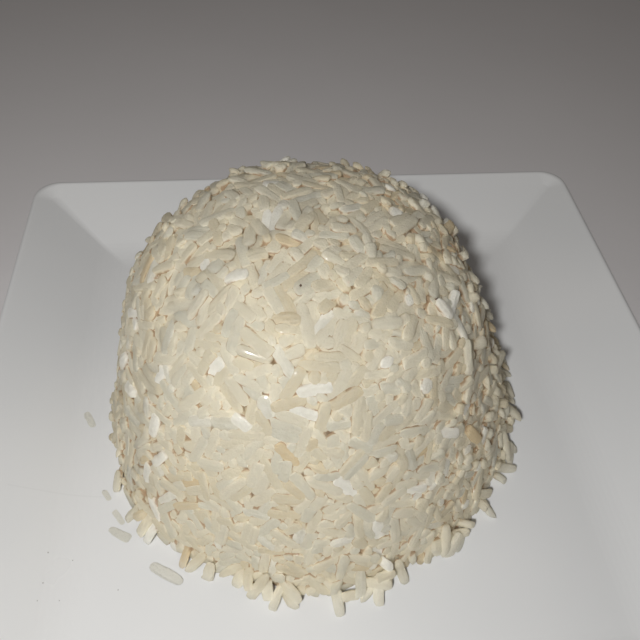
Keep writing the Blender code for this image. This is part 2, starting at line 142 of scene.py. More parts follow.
def make_piece(name, points, faces, values=None, places=None):
    """Makes a smooth object from points in millimetres and arrays of equal faces.

    Each value is an array of numbers for the points, or one number for all of them. Places
    unroll each face corner into a square for the texture map."""
    mesh = bpy.data.meshes.new(name)
    loops = corner_points(faces)
    sizes = np.concatenate([np.full(len(group), group.shape[1]) for group in faces])
    mesh.vertices.add(len(points))
    mesh.vertices.foreach_set("co", (points * MM).astype(np.float32).ravel())
    mesh.loops.add(len(loops))
    mesh.loops.foreach_set("vertex_index", loops.astype(np.int32))
    mesh.polygons.add(len(sizes))
    mesh.polygons.foreach_set("loop_start", (np.cumsum(sizes) - sizes).astype(np.int32))
    mesh.update(calc_edges=True)
    mesh.polygons.foreach_set("use_smooth", np.ones(len(sizes), bool))
    for key, column in (values or {}).items():
        layer = mesh.attributes.new(key, "FLOAT", "POINT")
        column = np.broadcast_to(column, len(points)).astype(np.float32)
        layer.data.foreach_set("value", column)
    if places is not None:
        layer = mesh.uv_layers.new(name=MAP)
        flat = np.concatenate([group.reshape(-1, 2) for group in places])
        layer.data.foreach_set("uv", flat.astype(np.float32).ravel())
    mesh.update()
    piece = bpy.data.objects.new(name, mesh)
    bpy.context.scene.collection.objects.link(piece)
    print(f"{name}: {len(points)} points, {int(np.sum(sizes - 2))} triangles")
    return piece


# %% [markdown]
# ## The moulded form
#
# A bowl pressed the rice, so the mound's skin follows one smooth form: a flat top, a round
# shoulder and sides that flare to the foot. It is a curve of radius against height, turned
# about an axis that leans a little, with a few full and slumped places that the photograph
# shows. Two questions are asked of it: where a spot on the skin is, and how deep any point
# lies under the skin.

# %% Sizes of the form
MOUND_HEIGHT = 70.0
FOOT_RADIUS = 59.5
TOP_RADIUS = 37.9
SHOULDER_POWER = 6.0
SHOULDER_ROUNDING = 2.2
MOUND_PLACE = np.array([-4.9, 7.4])
MOUND_LEAN = np.array([-4.7, 6.1])
FOOT_OVAL = (1.1, 1.3)
FOOT_TRIANGLE = (-0.3, 0.9)
SWELLS = [  # bearing in degrees, height, outward amount, spread
    (170, 45, 1.4, 14),
    (39, 58, 1.2, 12),
    (359, 16, -0.6, 12),
    (220, 6, 1.4, 13),
    (166, 17, -1.3, 11),
    (19, 24, -1.9, 10),
    (241, 3, -1.4, 11),
    (288, 2, -1.3, 12),
    (82, 66, -1.0, 14),
]
print("form", MOUND_HEIGHT, "mm high and", 2 * FOOT_RADIUS, "mm across its foot")

# %% The form as functions


def unit(vectors):
    """Vectors of length one along the last axis."""
    return vectors / np.maximum(np.linalg.norm(vectors, axis=-1, keepdims=True), 1e-9)


def ramp(value, start, end):
    """0 at the start, 1 at the end, an even slope between them, and level outside."""
    return np.clip((value - start) / (end - start), 0, 1)


def between(pair, share):
    """The first number of a pair at share 0 and the second one at share 1."""
    return pair[0] + (pair[1] - pair[0]) * share


def flared(height):
    """Radius of the straight flared side, which shrinks evenly from the foot to the top."""
    return FOOT_RADIUS + (TOP_RADIUS - FOOT_RADIUS) * height / MOUND_HEIGHT


def profile_radius(height):
    """Radius at a height: the flared side times (1 - share^power)^(1 / rounding)."""
    share = np.clip(height / MOUND_HEIGHT, 0, 1)
    return flared(height) * (1 - share ** SHOULDER_POWER) ** (1 / SHOULDER_ROUNDING)


def axis_at(height):
    """Where the leaning axis is at a height."""
    return MOUND_PLACE + np.multiply.outer(height / MOUND_HEIGHT, MOUND_LEAN)


def seen_from_axis(points):
    """Height, bearing and distance of points, seen from the leaning axis."""
    height = points[:, 2] - FLOOR_TOP
    across = points[:, :2] - axis_at(height)
    return height, np.arctan2(across[:, 1], across[:, 0]), np.hypot(across[:, 0], across[:, 1])


def level_way(bearing):
    """The level direction of a bearing."""
    return np.stack([np.cos(bearing), np.sin(bearing), 0 * bearing], axis=-1)


def plain_point(bearing, height):
    """The point of the form without its unevenness, and the level direction out of it."""
    outward = level_way(bearing)
    foot = np.column_stack([axis_at(height), FLOOR_TOP + height])
    return foot + outward * profile_radius(height)[:, None], outward


def swell_middles():
    """Middles, outward directions, amounts and spreads of the full and slumped places."""
    bearing, height, amount, spread = np.array(SWELLS, float).T
    return *plain_point(np.radians(bearing), height), amount, spread


def unevenness(points, bearing, height):
    """Sideways shift of the form at each point: the foot's lobes and the swells."""
    lobes = FOOT_OVAL[0] * np.cos(2 * bearing) + FOOT_OVAL[1] * np.sin(2 * bearing)
    lobes += FOOT_TRIANGLE[0] * np.cos(3 * bearing) + FOOT_TRIANGLE[1] * np.sin(3 * bearing)
    shift = lobes * (1 - height / MOUND_HEIGHT)
    for middle, outward, amount, spread in zip(*swell_middles()):
        away = np.sum((points - middle) ** 2, axis=-1)
        facing = outward[0] * np.cos(bearing) + outward[1] * np.sin(bearing)
        shift += amount * facing * np.exp(-away / (2 * spread ** 2))
    return shift


def skin_point(bearing, height):
    """The point of the form at a bearing and a height above the plate's floor."""
    point, outward = plain_point(bearing, height)
    ease = np.clip(profile_radius(height) / TOP_RADIUS, 0, 1)
    return point + outward * (unevenness(point, bearing, height) * ease)[:, None]


def depth_under_skin(points):
    """How far each point lies inside the form, and the direction straight out of it.

    The form is where (radius / flared)^rounding + share^power is 1. What is missing to 1,
    over how fast that sum grows, is the depth."""
    height, bearing, radius = seen_from_axis(points)
    share = np.clip(height / MOUND_HEIGHT, 1e-4, None)
    ease = np.clip(radius / TOP_RADIUS, 0, 1)
    radius = np.maximum(radius - unevenness(points, bearing, height) * ease, 1e-3)
    ratio = radius / flared(height)
    sideways = SHOULDER_ROUNDING * ratio ** (SHOULDER_ROUNDING - 1) / flared(height)
    flare = (FOOT_RADIUS - TOP_RADIUS) / MOUND_HEIGHT / flared(height)
    upward = SHOULDER_ROUNDING * ratio ** SHOULDER_ROUNDING * flare
    upward += SHOULDER_POWER * share ** (SHOULDER_POWER - 1) / MOUND_HEIGHT
    growth = np.hypot(sideways, upward)
    missing = 1 - ratio ** SHOULDER_ROUNDING - share ** SHOULDER_POWER
    out = np.stack([
        sideways * np.cos(bearing), sideways * np.sin(bearing), upward,
    ], axis=1) / growth[:, None]
    return missing / growth, out


def even_skin_spots(count):
    """Bearings and heights that are spread evenly over the form's area: the profile is cut
    into short steps, and a step is picked as often as the area that it sweeps is large."""
    height = MOUND_HEIGHT * (1 - np.linspace(0, 1, 600) ** 3)
    radius = profile_radius(height)
    step = np.hypot(np.diff(radius), np.diff(height))
    area = np.concatenate([[0], np.cumsum(step * (radius[1:] + radius[:-1]) / 2)])
    pick = rng.uniform(0, area[-1], count)
    return rng.uniform(0, 2 * math.pi, count), np.interp(pick, area, height)


# %% [markdown]
# ## Grain sizes
#
# Cooked long-grain rice is 7 to 10 mm long and nearly 3 mm wide, a little flat in section and
# blunt at both ends. No two grains are alike. Most are pearly, some are cream, greyish and
# glassy or chalky white, very few are golden, and nearly one in five is broken. The kinds get
# different lengths, and a tone between 0 and 1 that the material turns into a colour.

# %% Kinds of grain
GRAIN_COUNT = 5300
KINDS = {  # share of the grains, length, width, tone, tone's spread
    "golden": (0.015, 7.2, 2.55, 0.08, 0.06),
    "creamy": (0.30, 7.7, 2.65, 0.34, 0.08),
    "pearly": (0.345, 8.0, 2.70, 0.55, 0.08),
    "glassy": (0.12, 7.5, 2.60, 0.77, 0.05),
    "chalky": (0.04, 6.6, 2.85, 0.96, 0.04),
    "broken": (0.18, 5.3, 2.70, 0.52, 0.14),
}
LENGTHS = (3.8, 10.2)  # shortest and longest grain
WIDTHS = (2.1, 3.3)
WIDTH_SPREAD = 0.24  # lengths have a spread of 1 mm
STUBBIEST = 0.6  # most that a width can be of its grain's length
kind_share, kind_length, kind_width, kind_tone, tone_spread = np.array(list(KINDS.values())).T


def draw_sizes(count):
    """Lengths, widths and tones of grains: each kind's own, with a normal spread."""
    kind = rng.choice(len(KINDS), count, p=kind_share)
    spread = rng.normal(size=(3, count))
    length = np.clip(kind_length[kind] + spread[0], *LENGTHS)
    width = np.clip(kind_width[kind] + WIDTH_SPREAD * spread[1], *WIDTHS)
    tone = np.clip(kind_tone[kind] + tone_spread[kind] * spread[2], 0, 1)
    return length, np.minimum(width, STUBBIEST * length), tone


free_length, free_width, free_tone = draw_sizes(GRAIN_COUNT)
print("grains", GRAIN_COUNT, "mean length", free_length.mean().round(2), "mm")

# %% [markdown]
# ## Grains with a place of their own
#
# Most grains can lie anywhere. A few are marks that the eye finds again in the photograph: the
# one that points out at the right, the one that hangs beside it, those whose tips reach out at
# the front of the foot, a wet one that shines, a tan one and some white ones. They are given by
# bearing and height on the form, by how far they lean out of the skin and how they are turned
# on it, and the packing leaves them where they are.

# %% Named grains
BALLS = 5  # a grain is packed as a chain of this many balls
NAMED = [  # bearing, height, lean out, turn, offset outwards, length, width, tone, wetness
    (346, 8.5, 44, -135, 1.0, 9.0, 2.6, 0.50, 0),
    (336, 5.0, 10, -120, 0.9, 8.8, 2.8, 0.58, 0),
    (331, 1.5, 66, 30, 1.2, 7.0, 2.9, 0.60, 0),
    (318, 1.2, 20, -105, 0.6, 8.0, 2.8, 0.66, 0),
    (256, 1.2, 50, 90, 1.5, 7.5, 2.6, 0.52, 0),
    (270, 1.2, 40, -90, 2.5, 7.0, 2.6, 0.62, 0),
    (280, 1.2, 20, -105, 2.5, 7.5, 2.6, 0.56, 0),
    (280, 2.5, 30, 0, 1.5, 8.0, 2.6, 0.48, 0),
    (12, 20.0, 40, -45, 0.5, 8.0, 2.6, 0.60, 0),
    (350, 24.0, 20, -15, 0.5, 8.0, 2.6, 0.55, 0),
    (246.5, 58.3, -9, -4, -0.85, 8.4, 2.4, 0.54, 1),
    (318.5, 26.5, 10, -70, 0.0, 6.6, 2.8, 0.00, 0),
    (325.5, 45.4, 0, 60, 0.1, 9.0, 2.5, 0.62, 0),
    (246, 46.3, 0, -25, -0.4, 4.8, 2.8, 0.93, 0),
    (195, 36.0, 0, 70, -0.4, 6.0, 3.1, 0.99, 0),
    (203, 33.0, 10, 30, -0.3, 6.2, 3.0, 0.96, 0),
    (217, 32.8, 0, 85, -0.4, 7.4, 2.8, 0.98, 0),
    (220.5, 25.5, 0, 60, -0.4, 7.0, 3.0, 0.97, 0),
    (333, 55.5, 15, 20, -0.2, 6.0, 3.0, 1.00, 0),
    (327, 56.5, 5, 100, -0.3, 6.5, 2.9, 0.95, 0),
]
LOW_HEIGHT = 3.0  # named grains below this lie nearly level
LOW_SLOPE = 0.12
LYING_HEIGHT = 0.43  # of the width: middle line of a grain on the plate


def skin_frame(bearing, height):
    """Points of the skin, and the outward, level and uphill directions there."""
    place = skin_point(bearing, height)
    level = unit(skin_point(bearing + 1e-3, height) - place)
    uphill = unit(skin_point(bearing, height + 0.05) - place)
    return place, unit(np.cross(level, uphill)), level, uphill


def rod(middle, direction, length, width):
    """Ball middles along straight grains. The end balls lie half a width inside the tips."""
    share = np.linspace(-0.5, 0.5, BALLS)[None, :, None]
    return middle[:, None] + share * (length - width)[:, None, None] * direction[:, None]


bearing, height, lean, turn, offset, named_length, named_width, named_tone, named_wet = (
    np.array(NAMED, float).T)
place, outward, level, uphill = skin_frame(np.radians(bearing), height)
lean, turn = np.radians(lean)[:, None], np.radians(turn)[:, None]
along = (level * np.cos(turn) + uphill * np.sin(turn)) * np.cos(lean) + outward * np.sin(lean)
low = height < LOW_HEIGHT
along[low, 2] = np.clip(along[low, 2], -LOW_SLOPE, LOW_SLOPE)
named_chains = rod(place + outward * offset[:, None], unit(along), named_length, named_width)
lift = FLOOR_TOP + LYING_HEIGHT * named_width - named_chains[:, :, 2].min(axis=1)
named_chains[:, :, 2] += np.maximum(lift, 0)[:, None]
print("named grains", len(named_chains))

# %% [markdown]
# ## How tightly the bowl pressed
#
# The upper front is pressed smooth. The right side, the left edge, the back and the foot are
# looser: there grains stand out one by one, by up to three millimetres, and point in every
# direction. Each grain gets its own allowance beyond the wall, small where the bowl pressed and
# larger where the photograph shows loose rice.

# %% Loose and pressed places
LOOSE_ANYWHERE = 0.34  # looseness is in millimetres
LESS_IN_FRONT = 0.26
MORE_ON_TOP = 0.45
MORE_AT_RIGHT = 0.95
MORE_AT_LEFT = 0.28
MORE_BEHIND = 0.6
MORE_BELOW = 0.4
RIGHT_BELL = (-10, 38)  # bearing of the middle, and spread
LEFT_BELL = (180, 32)
FRONT_BELL = (-95, 34)
FRONT_HEIGHTS = (46, 15)  # height of the middle, and spread
BELOW = 24  # what lies lower is looser
SIDE_HEIGHTS = (68.5, 59.5)  # no side above the first, all of it below the second
CREST_HEIGHTS = (54, 66)  # no top below the first, all of it above the second


def bell(distance, spread):
    """A bell-shaped weight: 1 at no distance, and 0.6 at one spread."""
    return np.exp(-distance ** 2 / (2 * spread ** 2))


def looseness(points):
    """How far a grain may stand out: little in front, more at both sides, behind and low."""
    height, bearing = seen_from_axis(points)[:2]
    bearing = np.degrees(bearing)
    right = bell(bearing - RIGHT_BELL[0], RIGHT_BELL[1])
    left = bell(LEFT_BELL[0] - np.abs(bearing), LEFT_BELL[1])
    back = np.clip(np.sin(np.radians(bearing)), 0, 1)
    low = np.clip(1 - height / BELOW, 0, 1)
    front = bell(bearing - FRONT_BELL[0], FRONT_BELL[1])
    pressed = front * bell(height - FRONT_HEIGHTS[0], FRONT_HEIGHTS[1])
    side = ramp(height, *SIDE_HEIGHTS)
    loose = LOOSE_ANYWHERE - LESS_IN_FRONT * pressed + MORE_ON_TOP * ramp(height, *CREST_HEIGHTS)
    return loose + side * (
        MORE_AT_RIGHT * right + MORE_AT_LEFT * left + MORE_BEHIND * back + MORE_BELOW * low)


bearing, height = even_skin_spots(GRAIN_COUNT)
spot, outward = skin_frame(bearing, height)[:2]
loose = looseness(spot)
print("looseness, quartiles", np.percentile(loose, [0, 25, 50, 75, 100]).round(2))

# %% Start places, directions and allowances
SHELL_DEPTH = 6.5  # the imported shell's thickness
SHALLOWEST = 0.6  # least depth of a grain's middle at the start
LIE_FLAT = 0.78  # share of its outward lean that a pressed grain loses
LIE_PRESSED, LIE_LOOSE = 1.6, 0.4  # factor of that: the first less the looseness, or the second
# The next four are multiplied by the looseness.
STAND_OUT, SINK = 1.5, 1.05  # range of the allowances, and how far all of it lies inwards
TILT, TILT_SPREAD = 1.9, 0.8  # of a grain that points straight out, and at random

middle = spot - outward * rng.uniform(SHALLOWEST, SHELL_DEPTH, GRAIN_COUNT)[:, None]
heading = unit(rng.normal(size=(GRAIN_COUNT, 3)))
outwardness = np.sum(heading * outward, axis=1)
flattened = LIE_FLAT * np.clip(LIE_PRESSED - loose, LIE_LOOSE, 1) * outwardness
heading = unit(heading - outward * flattened[:, None])
free_stand_out = loose * (STAND_OUT * rng.uniform(0, 1, GRAIN_COUNT) ** 2 - SINK)
free_tilt = loose * (TILT * outwardness + rng.uniform(-TILT_SPREAD, TILT_SPREAD, GRAIN_COUNT))
free_chains = rod(middle, heading, free_length, free_width)
print("mean lean out of the skin", np.abs(np.degrees(np.arcsin(outwardness))).mean().round(1))

# %% Grains that have slid down to the foot
FOOT_COUNT = 50
FOOT_BEARINGS = (-160, 20)
FOOT_LEVEL = 1.3
FOOT_DISTANCE = (-3.6, -0.4)  # of a grain's middle beyond the skin's foot
FOOT_TURN = (52, 128)  # degrees: at 90 a grain points straight outwards
FOOT_STAND_OUT = 2.8

bearing = np.radians(rng.uniform(*FOOT_BEARINGS, FOOT_COUNT))
spot, outward, level = skin_frame(bearing, np.full(FOOT_COUNT, FOOT_LEVEL))[:3]
outward = unit(outward * [1, 1, 0])
foot_length, foot_width, foot_tone = draw_sizes(FOOT_COUNT)
middle = spot + outward * rng.uniform(*FOOT_DISTANCE, FOOT_COUNT)[:, None]
turn = np.radians(rng.uniform(*FOOT_TURN, (FOOT_COUNT, 1)))
foot_chains = rod(middle, level * np.cos(turn) + outward * np.sin(turn), foot_length, foot_width)
print("grains at the foot", FOOT_COUNT)

# %% [markdown]
# ## Packing the grains
#
# In a bowl the grains push each other aside until none overlaps its neighbour by much, and
# those at the wall are pressed flat against it. That is done here with a small relaxation.
# A grain is a chain of five balls. Grains start at random places and directions in a shell
# under the form. Then, over and over, balls of different grains that overlap are pushed
# apart, each chain is drawn back towards a straight rod, and the wall, the plate and the
# shell's inner side push back. Real packing is the reason for doing this and not scattering
# grains on a surface: only packed grains lie over and under each other as real ones do.

# %% Which balls are neighbours
REACH = 3.5  # balls further apart than this never touch


def close_pairs(points):
    """Pairs of points within reach. Points are sorted into cubes of that size, and each is
    compared with the later ones of its own cube and with half of the cubes around it."""
    cell = np.floor((points - points.min(axis=0)) / REACH).astype(np.int64) + 1
    size = cell.max(axis=0) + 2
    key = (cell[:, 0] * size[1] + cell[:, 1]) * size[2] + cell[:, 2]
    order = np.argsort(key, kind="stable")
    ranked = key[order]
    rank = np.empty(len(points), np.int64)
    rank[order] = np.arange(len(points))
    found = []
    for dx, dy, dz in np.ndindex(3, 3, 3):
        shift = ((dx - 1) * size[1] + dy - 1) * size[2] + dz - 1
        if shift < 0:
            continue
        start = np.searchsorted(ranked, key + shift, "left") if shift else rank + 1
        count = np.searchsorted(ranked, key + shift, "right") - start
        one = np.repeat(np.arange(len(points)), count)
        within = np.arange(len(one)) - np.repeat(np.cumsum(count) - count, count)
        other = order[np.repeat(start, count) + within]
        near = np.sum((points[one] - points[other]) ** 2, axis=1) < REACH ** 2
        found.append(np.stack([one[near], other[near]]))
    return np.concatenate(found, axis=1)


# %% The steps of one sweep
PACKED_RADIUS = 0.415  # of the width: cooked grains press into each other
PUSH = 0.9  # share of an overlap that one sweep removes
STRAIGHTEN = 0.35  # share of a grain's bend that one sweep removes
WALL_PRESS = 0.62  # of a ball's radius that the wall leaves it


def sum_by_point(count, numbers, vectors):
    """Adds up the vectors that belong to each of the numbered points."""
    return np.stack([np.bincount(numbers, vectors[:, axis], count) for axis in range(3)], axis=1)


def push_apart(points, radius, one, other):
    """Moves two overlapping balls apart, each by half of the overlap. A ball with many
    contacts moves less for each, so that the heap does not shake itself apart."""
    gap = points[other] - points[one]
    distance = np.maximum(np.sqrt(np.sum(gap ** 2, axis=1)), 1e-6)
    overlap = radius[one] + radius[other] - distance
    hit = overlap > 0
    push = gap[hit] * (overlap[hit] / distance[hit] / 2)[:, None]
    one, other, count = one[hit], other[hit], len(points)
    touches = np.bincount(one, minlength=count) + np.bincount(other, minlength=count)
    total = sum_by_point(count, other, push) - sum_by_point(count, one, push)
    return points + total * (PUSH / np.sqrt(np.maximum(touches, 1)))[:, None]


def straighten(points, length, width):
    """Draws each chain towards the straight rod that fits it best: its direction is twice
    the way from the first ball to the last, plus that from the second to the fourth."""
    chain = points.reshape(-1, BALLS, 3)
    middle = chain.mean(axis=1)
    along = unit(2 * (chain[:, 4] - chain[:, 0]) + chain[:, 3] - chain[:, 1])
    straight = rod(middle, along, length, width)
    return (chain + (straight - chain) * STRAIGHTEN).reshape(-1, 3)


def hold_in_shell(points, radius, allowed):
    """Keeps balls inside the mould's wall, above the plate and out of the mound's middle."""
    depth, out = depth_under_skin(points)
    short = np.maximum(radius * WALL_PRESS - allowed - depth, 0)
    deep = np.maximum(depth - SHELL_DEPTH, 0) / 2
    points = points + out * (deep - short)[:, None]
    points[:, 2] = np.maximum(points[:, 2], FLOOR_TOP + radius * WALL_PRESS)
    return points


def along_grain(stand_out, tilt, shares):
    """A grain's allowance beyond the wall at shares of its length: its middle's, and more
    towards the end that its tilt lifts."""
    return stand_out[:, None] + tilt[:, None] * (shares - 0.5)[None]


# %% Pack
SWEEPS = 240
PAIR_REFRESH = 10  # sweeps between two searches for neighbours
WALL_START = 3.0  # how far out the wall starts before it closes in
WALL_CLOSES = 0.55  # share of the sweeps that this takes
NO_WALL = 20.0  # allowance of the named grains, which nothing moves


def pack(chains, length, width, allowed, fixed):
    """Relaxes all chains together. The last ones are fixed, and put back after each sweep."""
    owner = np.repeat(np.arange(len(chains)), BALLS)
    radius = np.repeat(width * PACKED_RADIUS, BALLS)
    points = chains.reshape(-1, 3)
    for sweep in range(SWEEPS):
        if sweep % PAIR_REFRESH == 0:
            one, other = close_pairs(points)
            apart = owner[one] != owner[other]
            one, other = one[apart], other[apart]
        points = push_apart(points, radius, one, other)
        points = straighten(points, length, width)
        open_wall = WALL_START * max(0.0, 1 - sweep / (SWEEPS * WALL_CLOSES))
        points = hold_in_shell(points, radius, allowed.ravel() + open_wall)
        points.reshape(-1, BALLS, 3)[-len(fixed):] = fixed
    return points.reshape(-1, BALLS, 3)


length = np.concatenate([free_length, foot_length, named_length])
width = np.concatenate([free_width, foot_width, named_width])
tone = np.concatenate([free_tone, foot_tone, named_tone])
wet = np.concatenate([np.zeros(GRAIN_COUNT + FOOT_COUNT), named_wet])
stand_out = np.concatenate([
    free_stand_out, np.full(FOOT_COUNT, FOOT_STAND_OUT), np.full(len(NAMED), NO_WALL),
])
tilt = np.concatenate([free_tilt, np.zeros(FOOT_COUNT + len(NAMED))])
chains = pack(
    np.concatenate([free_chains, foot_chains, named_chains]), length, width,
    along_grain(stand_out, tilt, np.linspace(0, 1, BALLS)), named_chains,
)
ball_depth, ball_out = depth_under_skin(chains.reshape(-1, 3))
ball_depth = ball_depth.reshape(-1, BALLS)
print("depth of the middle balls", np.percentile(ball_depth[:, 2], [5, 50, 95]).round(2), "mm")

# %% [markdown]
# ## From chains to grains
#
# A grain's surface is a section carried along its middle line: seven rings of eight points
# and two tips, 64 faces in all, because there are thousands of grains. The section is a
# rounded, lumpy square that turns along the grain, because packed grains press flat sides on
# each other. One end can be blunter than the other, and a broken one is nearly square.

# %% Grain surface
SIDES = 8
RING_SHARES = np.array([0.03, 0.12, 0.29, 0.5, 0.71, 0.88, 0.97])
RINGS = len(RING_SHARES)
GRAIN_POINTS = RINGS * SIDES + 2
BLUNTNESS = (3.6, 18.0)  # power of the ends: round at 2, cut square when high
SQUARENESS = (2.3, 4.2)  # power of the section: an oval at 2, square when high
THINNING = (0.70, 0.93)  # thickness over width
SECTION_SIZE = 0.97  # of the width
LOBES = 0.05  # waves and lumps are shares of the section's radius
LUMPS = 0.055
END_POWER = 2.3  # of the curve by which the ends close
TAPER = 0.22  # most by which one end is thicker than the other
CUT_SLANT = 0.11  # spread of an oblique end's slide, over the width
CUT_SHARE = 0.35  # of the length that an oblique end takes up


def section_radius(around, count, lumpiness):
    """Radius of each grain's section at the angles around it.

    It is (|cos|^p + |sin|^p)^(-1/p) of the angle, turned by a phase and a twist along the
    grain, times a wave of three lobes and small lumps of its own at every point."""
    power = rng.uniform(*SQUARENESS, (count, 1, 1))
    phase = rng.uniform(0, 2 * math.pi, (count, 1, 1))
    twist = rng.uniform(-1.0, 1.0, (count, 1, 1)) * RING_SHARES[None, :, None]
    turned_by = around + phase + twist
    square = np.abs(np.cos(turned_by)) ** power + np.abs(np.sin(turned_by)) ** power
    lobes = LOBES * np.cos(3 * around + 2 * phase - 2 * twist)
    lumps = LUMPS * lumpiness * rng.normal(size=square.shape)
    return SECTION_SIZE * square ** (-1 / power) * (1 + lobes + lumps)


def end_cuts(around, count, width):
    """How far the rings near an end slide along the grain, because a break is oblique."""
    amount = CUT_SLANT * rng.normal(size=(count, 2, 1, 1)) * width[:, None, None, None]
    cut = amount * np.cos(around[:, None] + rng.uniform(0, 2 * math.pi, (count, 2, 1, 1)))
    near_end = [ramp(RING_SHARES, CUT_SHARE, 0), ramp(RING_SHARES, 1 - CUT_SHARE, 1)]
    return np.sum(cut * np.stack(near_end)[None, :, :, None], axis=1)


def grain_points(chains, length, packed_width, width, facing, lumpiness):
    """Points of the grains' surfaces, one row for each grain.

    The middle line is the parabola that fits the five balls best. Across it lies the section,
    as wide as width * (1 - |2s - 1|^blunt)^(1/p) at the share s of the length."""
    count = len(chains)
    shares = np.concatenate([[0.0], RING_SHARES, [1.0]])
    position = (shares - 0.5)[None, :] * (length / (length - packed_width))[:, None]
    ball = np.linspace(-0.5, 0.5, BALLS)
    fit = np.linalg.pinv(np.stack([ball ** power for power in range(3)], axis=1))
    line = np.stack([position ** power for power in range(3)], axis=2) @ (fit @ chains)
    along = unit(np.gradient(line, axis=1))[:, 1:-1, None]
    facing = facing[:, None, None]
    facing = unit(facing - along * np.sum(facing * along, axis=3, keepdims=True))
    beside = np.cross(facing, along)
    blunt = np.exp(rng.uniform(*np.log(BLUNTNESS), (count, 2)))
    blunt = np.where(RING_SHARES[None] < 0.5, blunt[:, :1], blunt[:, 1:])
    swell = (1 - np.abs(2 * RING_SHARES - 1)[None] ** blunt) ** (1 / END_POWER)
    swell = swell * (1 + (RING_SHARES - 0.5)[None] * rng.uniform(-TAPER, TAPER, (count, 1)))
    around = (np.linspace(0, 2 * math.pi, SIDES, endpoint=False) - math.pi / 2)[None, None]
    size = (swell * width[:, None] / 2)[:, :, None] * section_radius(around, count, lumpiness)
    thin = rng.uniform(*THINNING, (count, 1, 1))
    rings = line[:, 1:-1, None] + beside * (size * np.cos(around))[..., None]
    rings = rings + facing * (size * thin * np.sin(around))[..., None]
    rings = rings + along * end_cuts(around, count, width)[..., None]
    rings = rings.reshape(count, RINGS * SIDES, 3)
    return np.concatenate([rings, line[:, :1], line[:, -1:]], axis=1)


# %% Pressed against the bowl
PRESSED_SKIN = 0.45  # the wall flattens what lies less deep than this
WALL_GIVE = 0.07  # share by which what was pressed still stands out
TOP_CLEARANCE = 0.2  # how far above the form's top the grains may reach
PLATE_CLEARANCE = 0.05  # and how far above the plate they end
TIP_SLUMP = 0.4  # share of its height that a wet tip on the plate loses
GAP_SHADE_DEPTHS = (0.8, 2.1)  # depths where the painted gap shade begins and where it is full
GAP_SHADE_SINKS = 0.2  # how much deeper they lie for each mm of looseness
SEAM_LOOKS_OUT = 0.85  # share outwards above which a side isn't in a seam
SEAM_DEPTHS = (-0.05, 0.45)
TIP_HEIGHTS = (5.6, 1.6)  # a tip has reached out where it lies this low
TIP_DISTANCES = (0.3, 2.8)  # and this far outside the form


def press_flat(points, allowed):
    """Flattens grains against the wall: a depth below the pressed skin's thickness e becomes
    (1 - give) * e * exp(depth / e - 1) + give * depth, so that what is pressed keeps some
    thickness. The plate cuts them off flat."""
    depth, out = depth_under_skin(points)
    reach = depth + allowed
    pressed = (1 - WALL_GIVE) * PRESSED_SKIN * np.exp(np.minimum(reach / PRESSED_SKIN, 1) - 1)
    pressed += WALL_GIVE * reach
    points = points - out * np.where(reach < PRESSED_SKIN, pressed - reach, 0)[:, None]
    points[:, 2] -= (points[:, 2] - FLOOR_TOP) * TIP_SLUMP * reached_out(points)
    ceiling = FLOOR_TOP + MOUND_HEIGHT + TOP_CLEARANCE
    points[:, 2] = np.clip(points[:, 2], FLOOR_TOP + PLATE_CLEARANCE, ceiling)
    return points


def painted_gap_shade(points):
    """Painted shade of the gaps: 0 at the heap's surface and 1 at the bottom of its deepest gaps,
    which lie lower where the heap is loose. The material darkens with it to tan and brown."""
    return ramp(depth_under_skin(points)[0] - GAP_SHADE_SINKS * looseness(points), *GAP_SHADE_DEPTHS)


def painted_seam_shade(points, normals):
    """Painted shade of seams: 0 on what looks or stands out of the heap, and 1 on the sides by
    which grains touch, which the material darkens.
    """
    depth, outward = depth_under_skin(points)
    sideways = ramp(np.sum(normals * outward, axis=1), SEAM_LOOKS_OUT, 0)
    return sideways * ramp(depth, *SEAM_DEPTHS)


def reached_out(points):
    """0 in the heap and 1 on tips that lie on the plate well outside the form."""
    low = ramp(points[:, 2] - FLOOR_TOP, *TIP_HEIGHTS)
    return low * ramp(-depth_under_skin(points)[0], *TIP_DISTANCES)


# %% Texture map of small pieces
TILE_MARGIN = 0.06  # share of a tile that stays free at each side


def tiled(places, count):
    """Gives each of count equal surfaces its own tile of the texture map."""
    tiles = math.ceil(math.sqrt(count))
    index = np.arange(count)
    tile = np.stack([index % tiles, index // tiles], axis=1)
    done = []
    for group in places:
        own = group.reshape(count, -1, 2)
        own = tile[:, None] + TILE_MARGIN + (1 - 2 * TILE_MARGIN) * own
        done.append((own / tiles).reshape(group.shape))
    return done


# %% [markdown]
# ## Softer shading
#
# Light that enters a grain wanders on into its neighbours, and evens out how bright their
# sides look. The subsurface part of the material does that only in part, and a viewer that
# has none not at all. So the directions that the shading uses are bent from each grain's own
# surface towards the heap's skin. The outline and the seams stay as they are.

# %% Bent shading directions
UPWARD_BEND = 0.45  # light comes from above, and wanders down the sides


def own_normals(points, faces):
    """The outward directions of the points, and of each face at each of its corners."""
    normals = [np.cross(points[group[:, 2]] - points[group[:, 0]],
                        points[group[:, -1]] - points[group[:, 1]]) for group in faces]
    of_face = per_corner(normals, faces)
    return unit(sum_by_point(len(points), corner_points(faces), of_face)), unit(of_face)


def soften_shading(piece, normals, faces, plane, outward, share):
    """Gives each face corner the direction that its point or, on a plane facet, its face has,
    bent by a share towards the outward direction of its point and a little upwards."""
    of_point, of_face = normals
    corners = corner_points(faces)
    plane = per_corner(np.split(plane, [len(faces[0])]), faces)
    own = np.where(plane[:, None], of_face, of_point[corners])
    share = share[corners][:, None]
    soft = unit(outward[corners] + [0, 0, UPWARD_BEND])
    piece.data.normals_split_custom_set(unit(own * (1 - share) + soft * share))


# %% [markdown]
# ## The grains that are seen
#
# Only grains near the surface are made, since the core hides the rest. They are split by side
# into three pieces of equal kind, which keeps each one light. Grains in one piece share one
# surface for the light that wanders under it, so neighbours must be in the same piece where
# that shows: the front is one piece. A grain is drawn wider where the bowl pressed, because
# there it fills its gaps.

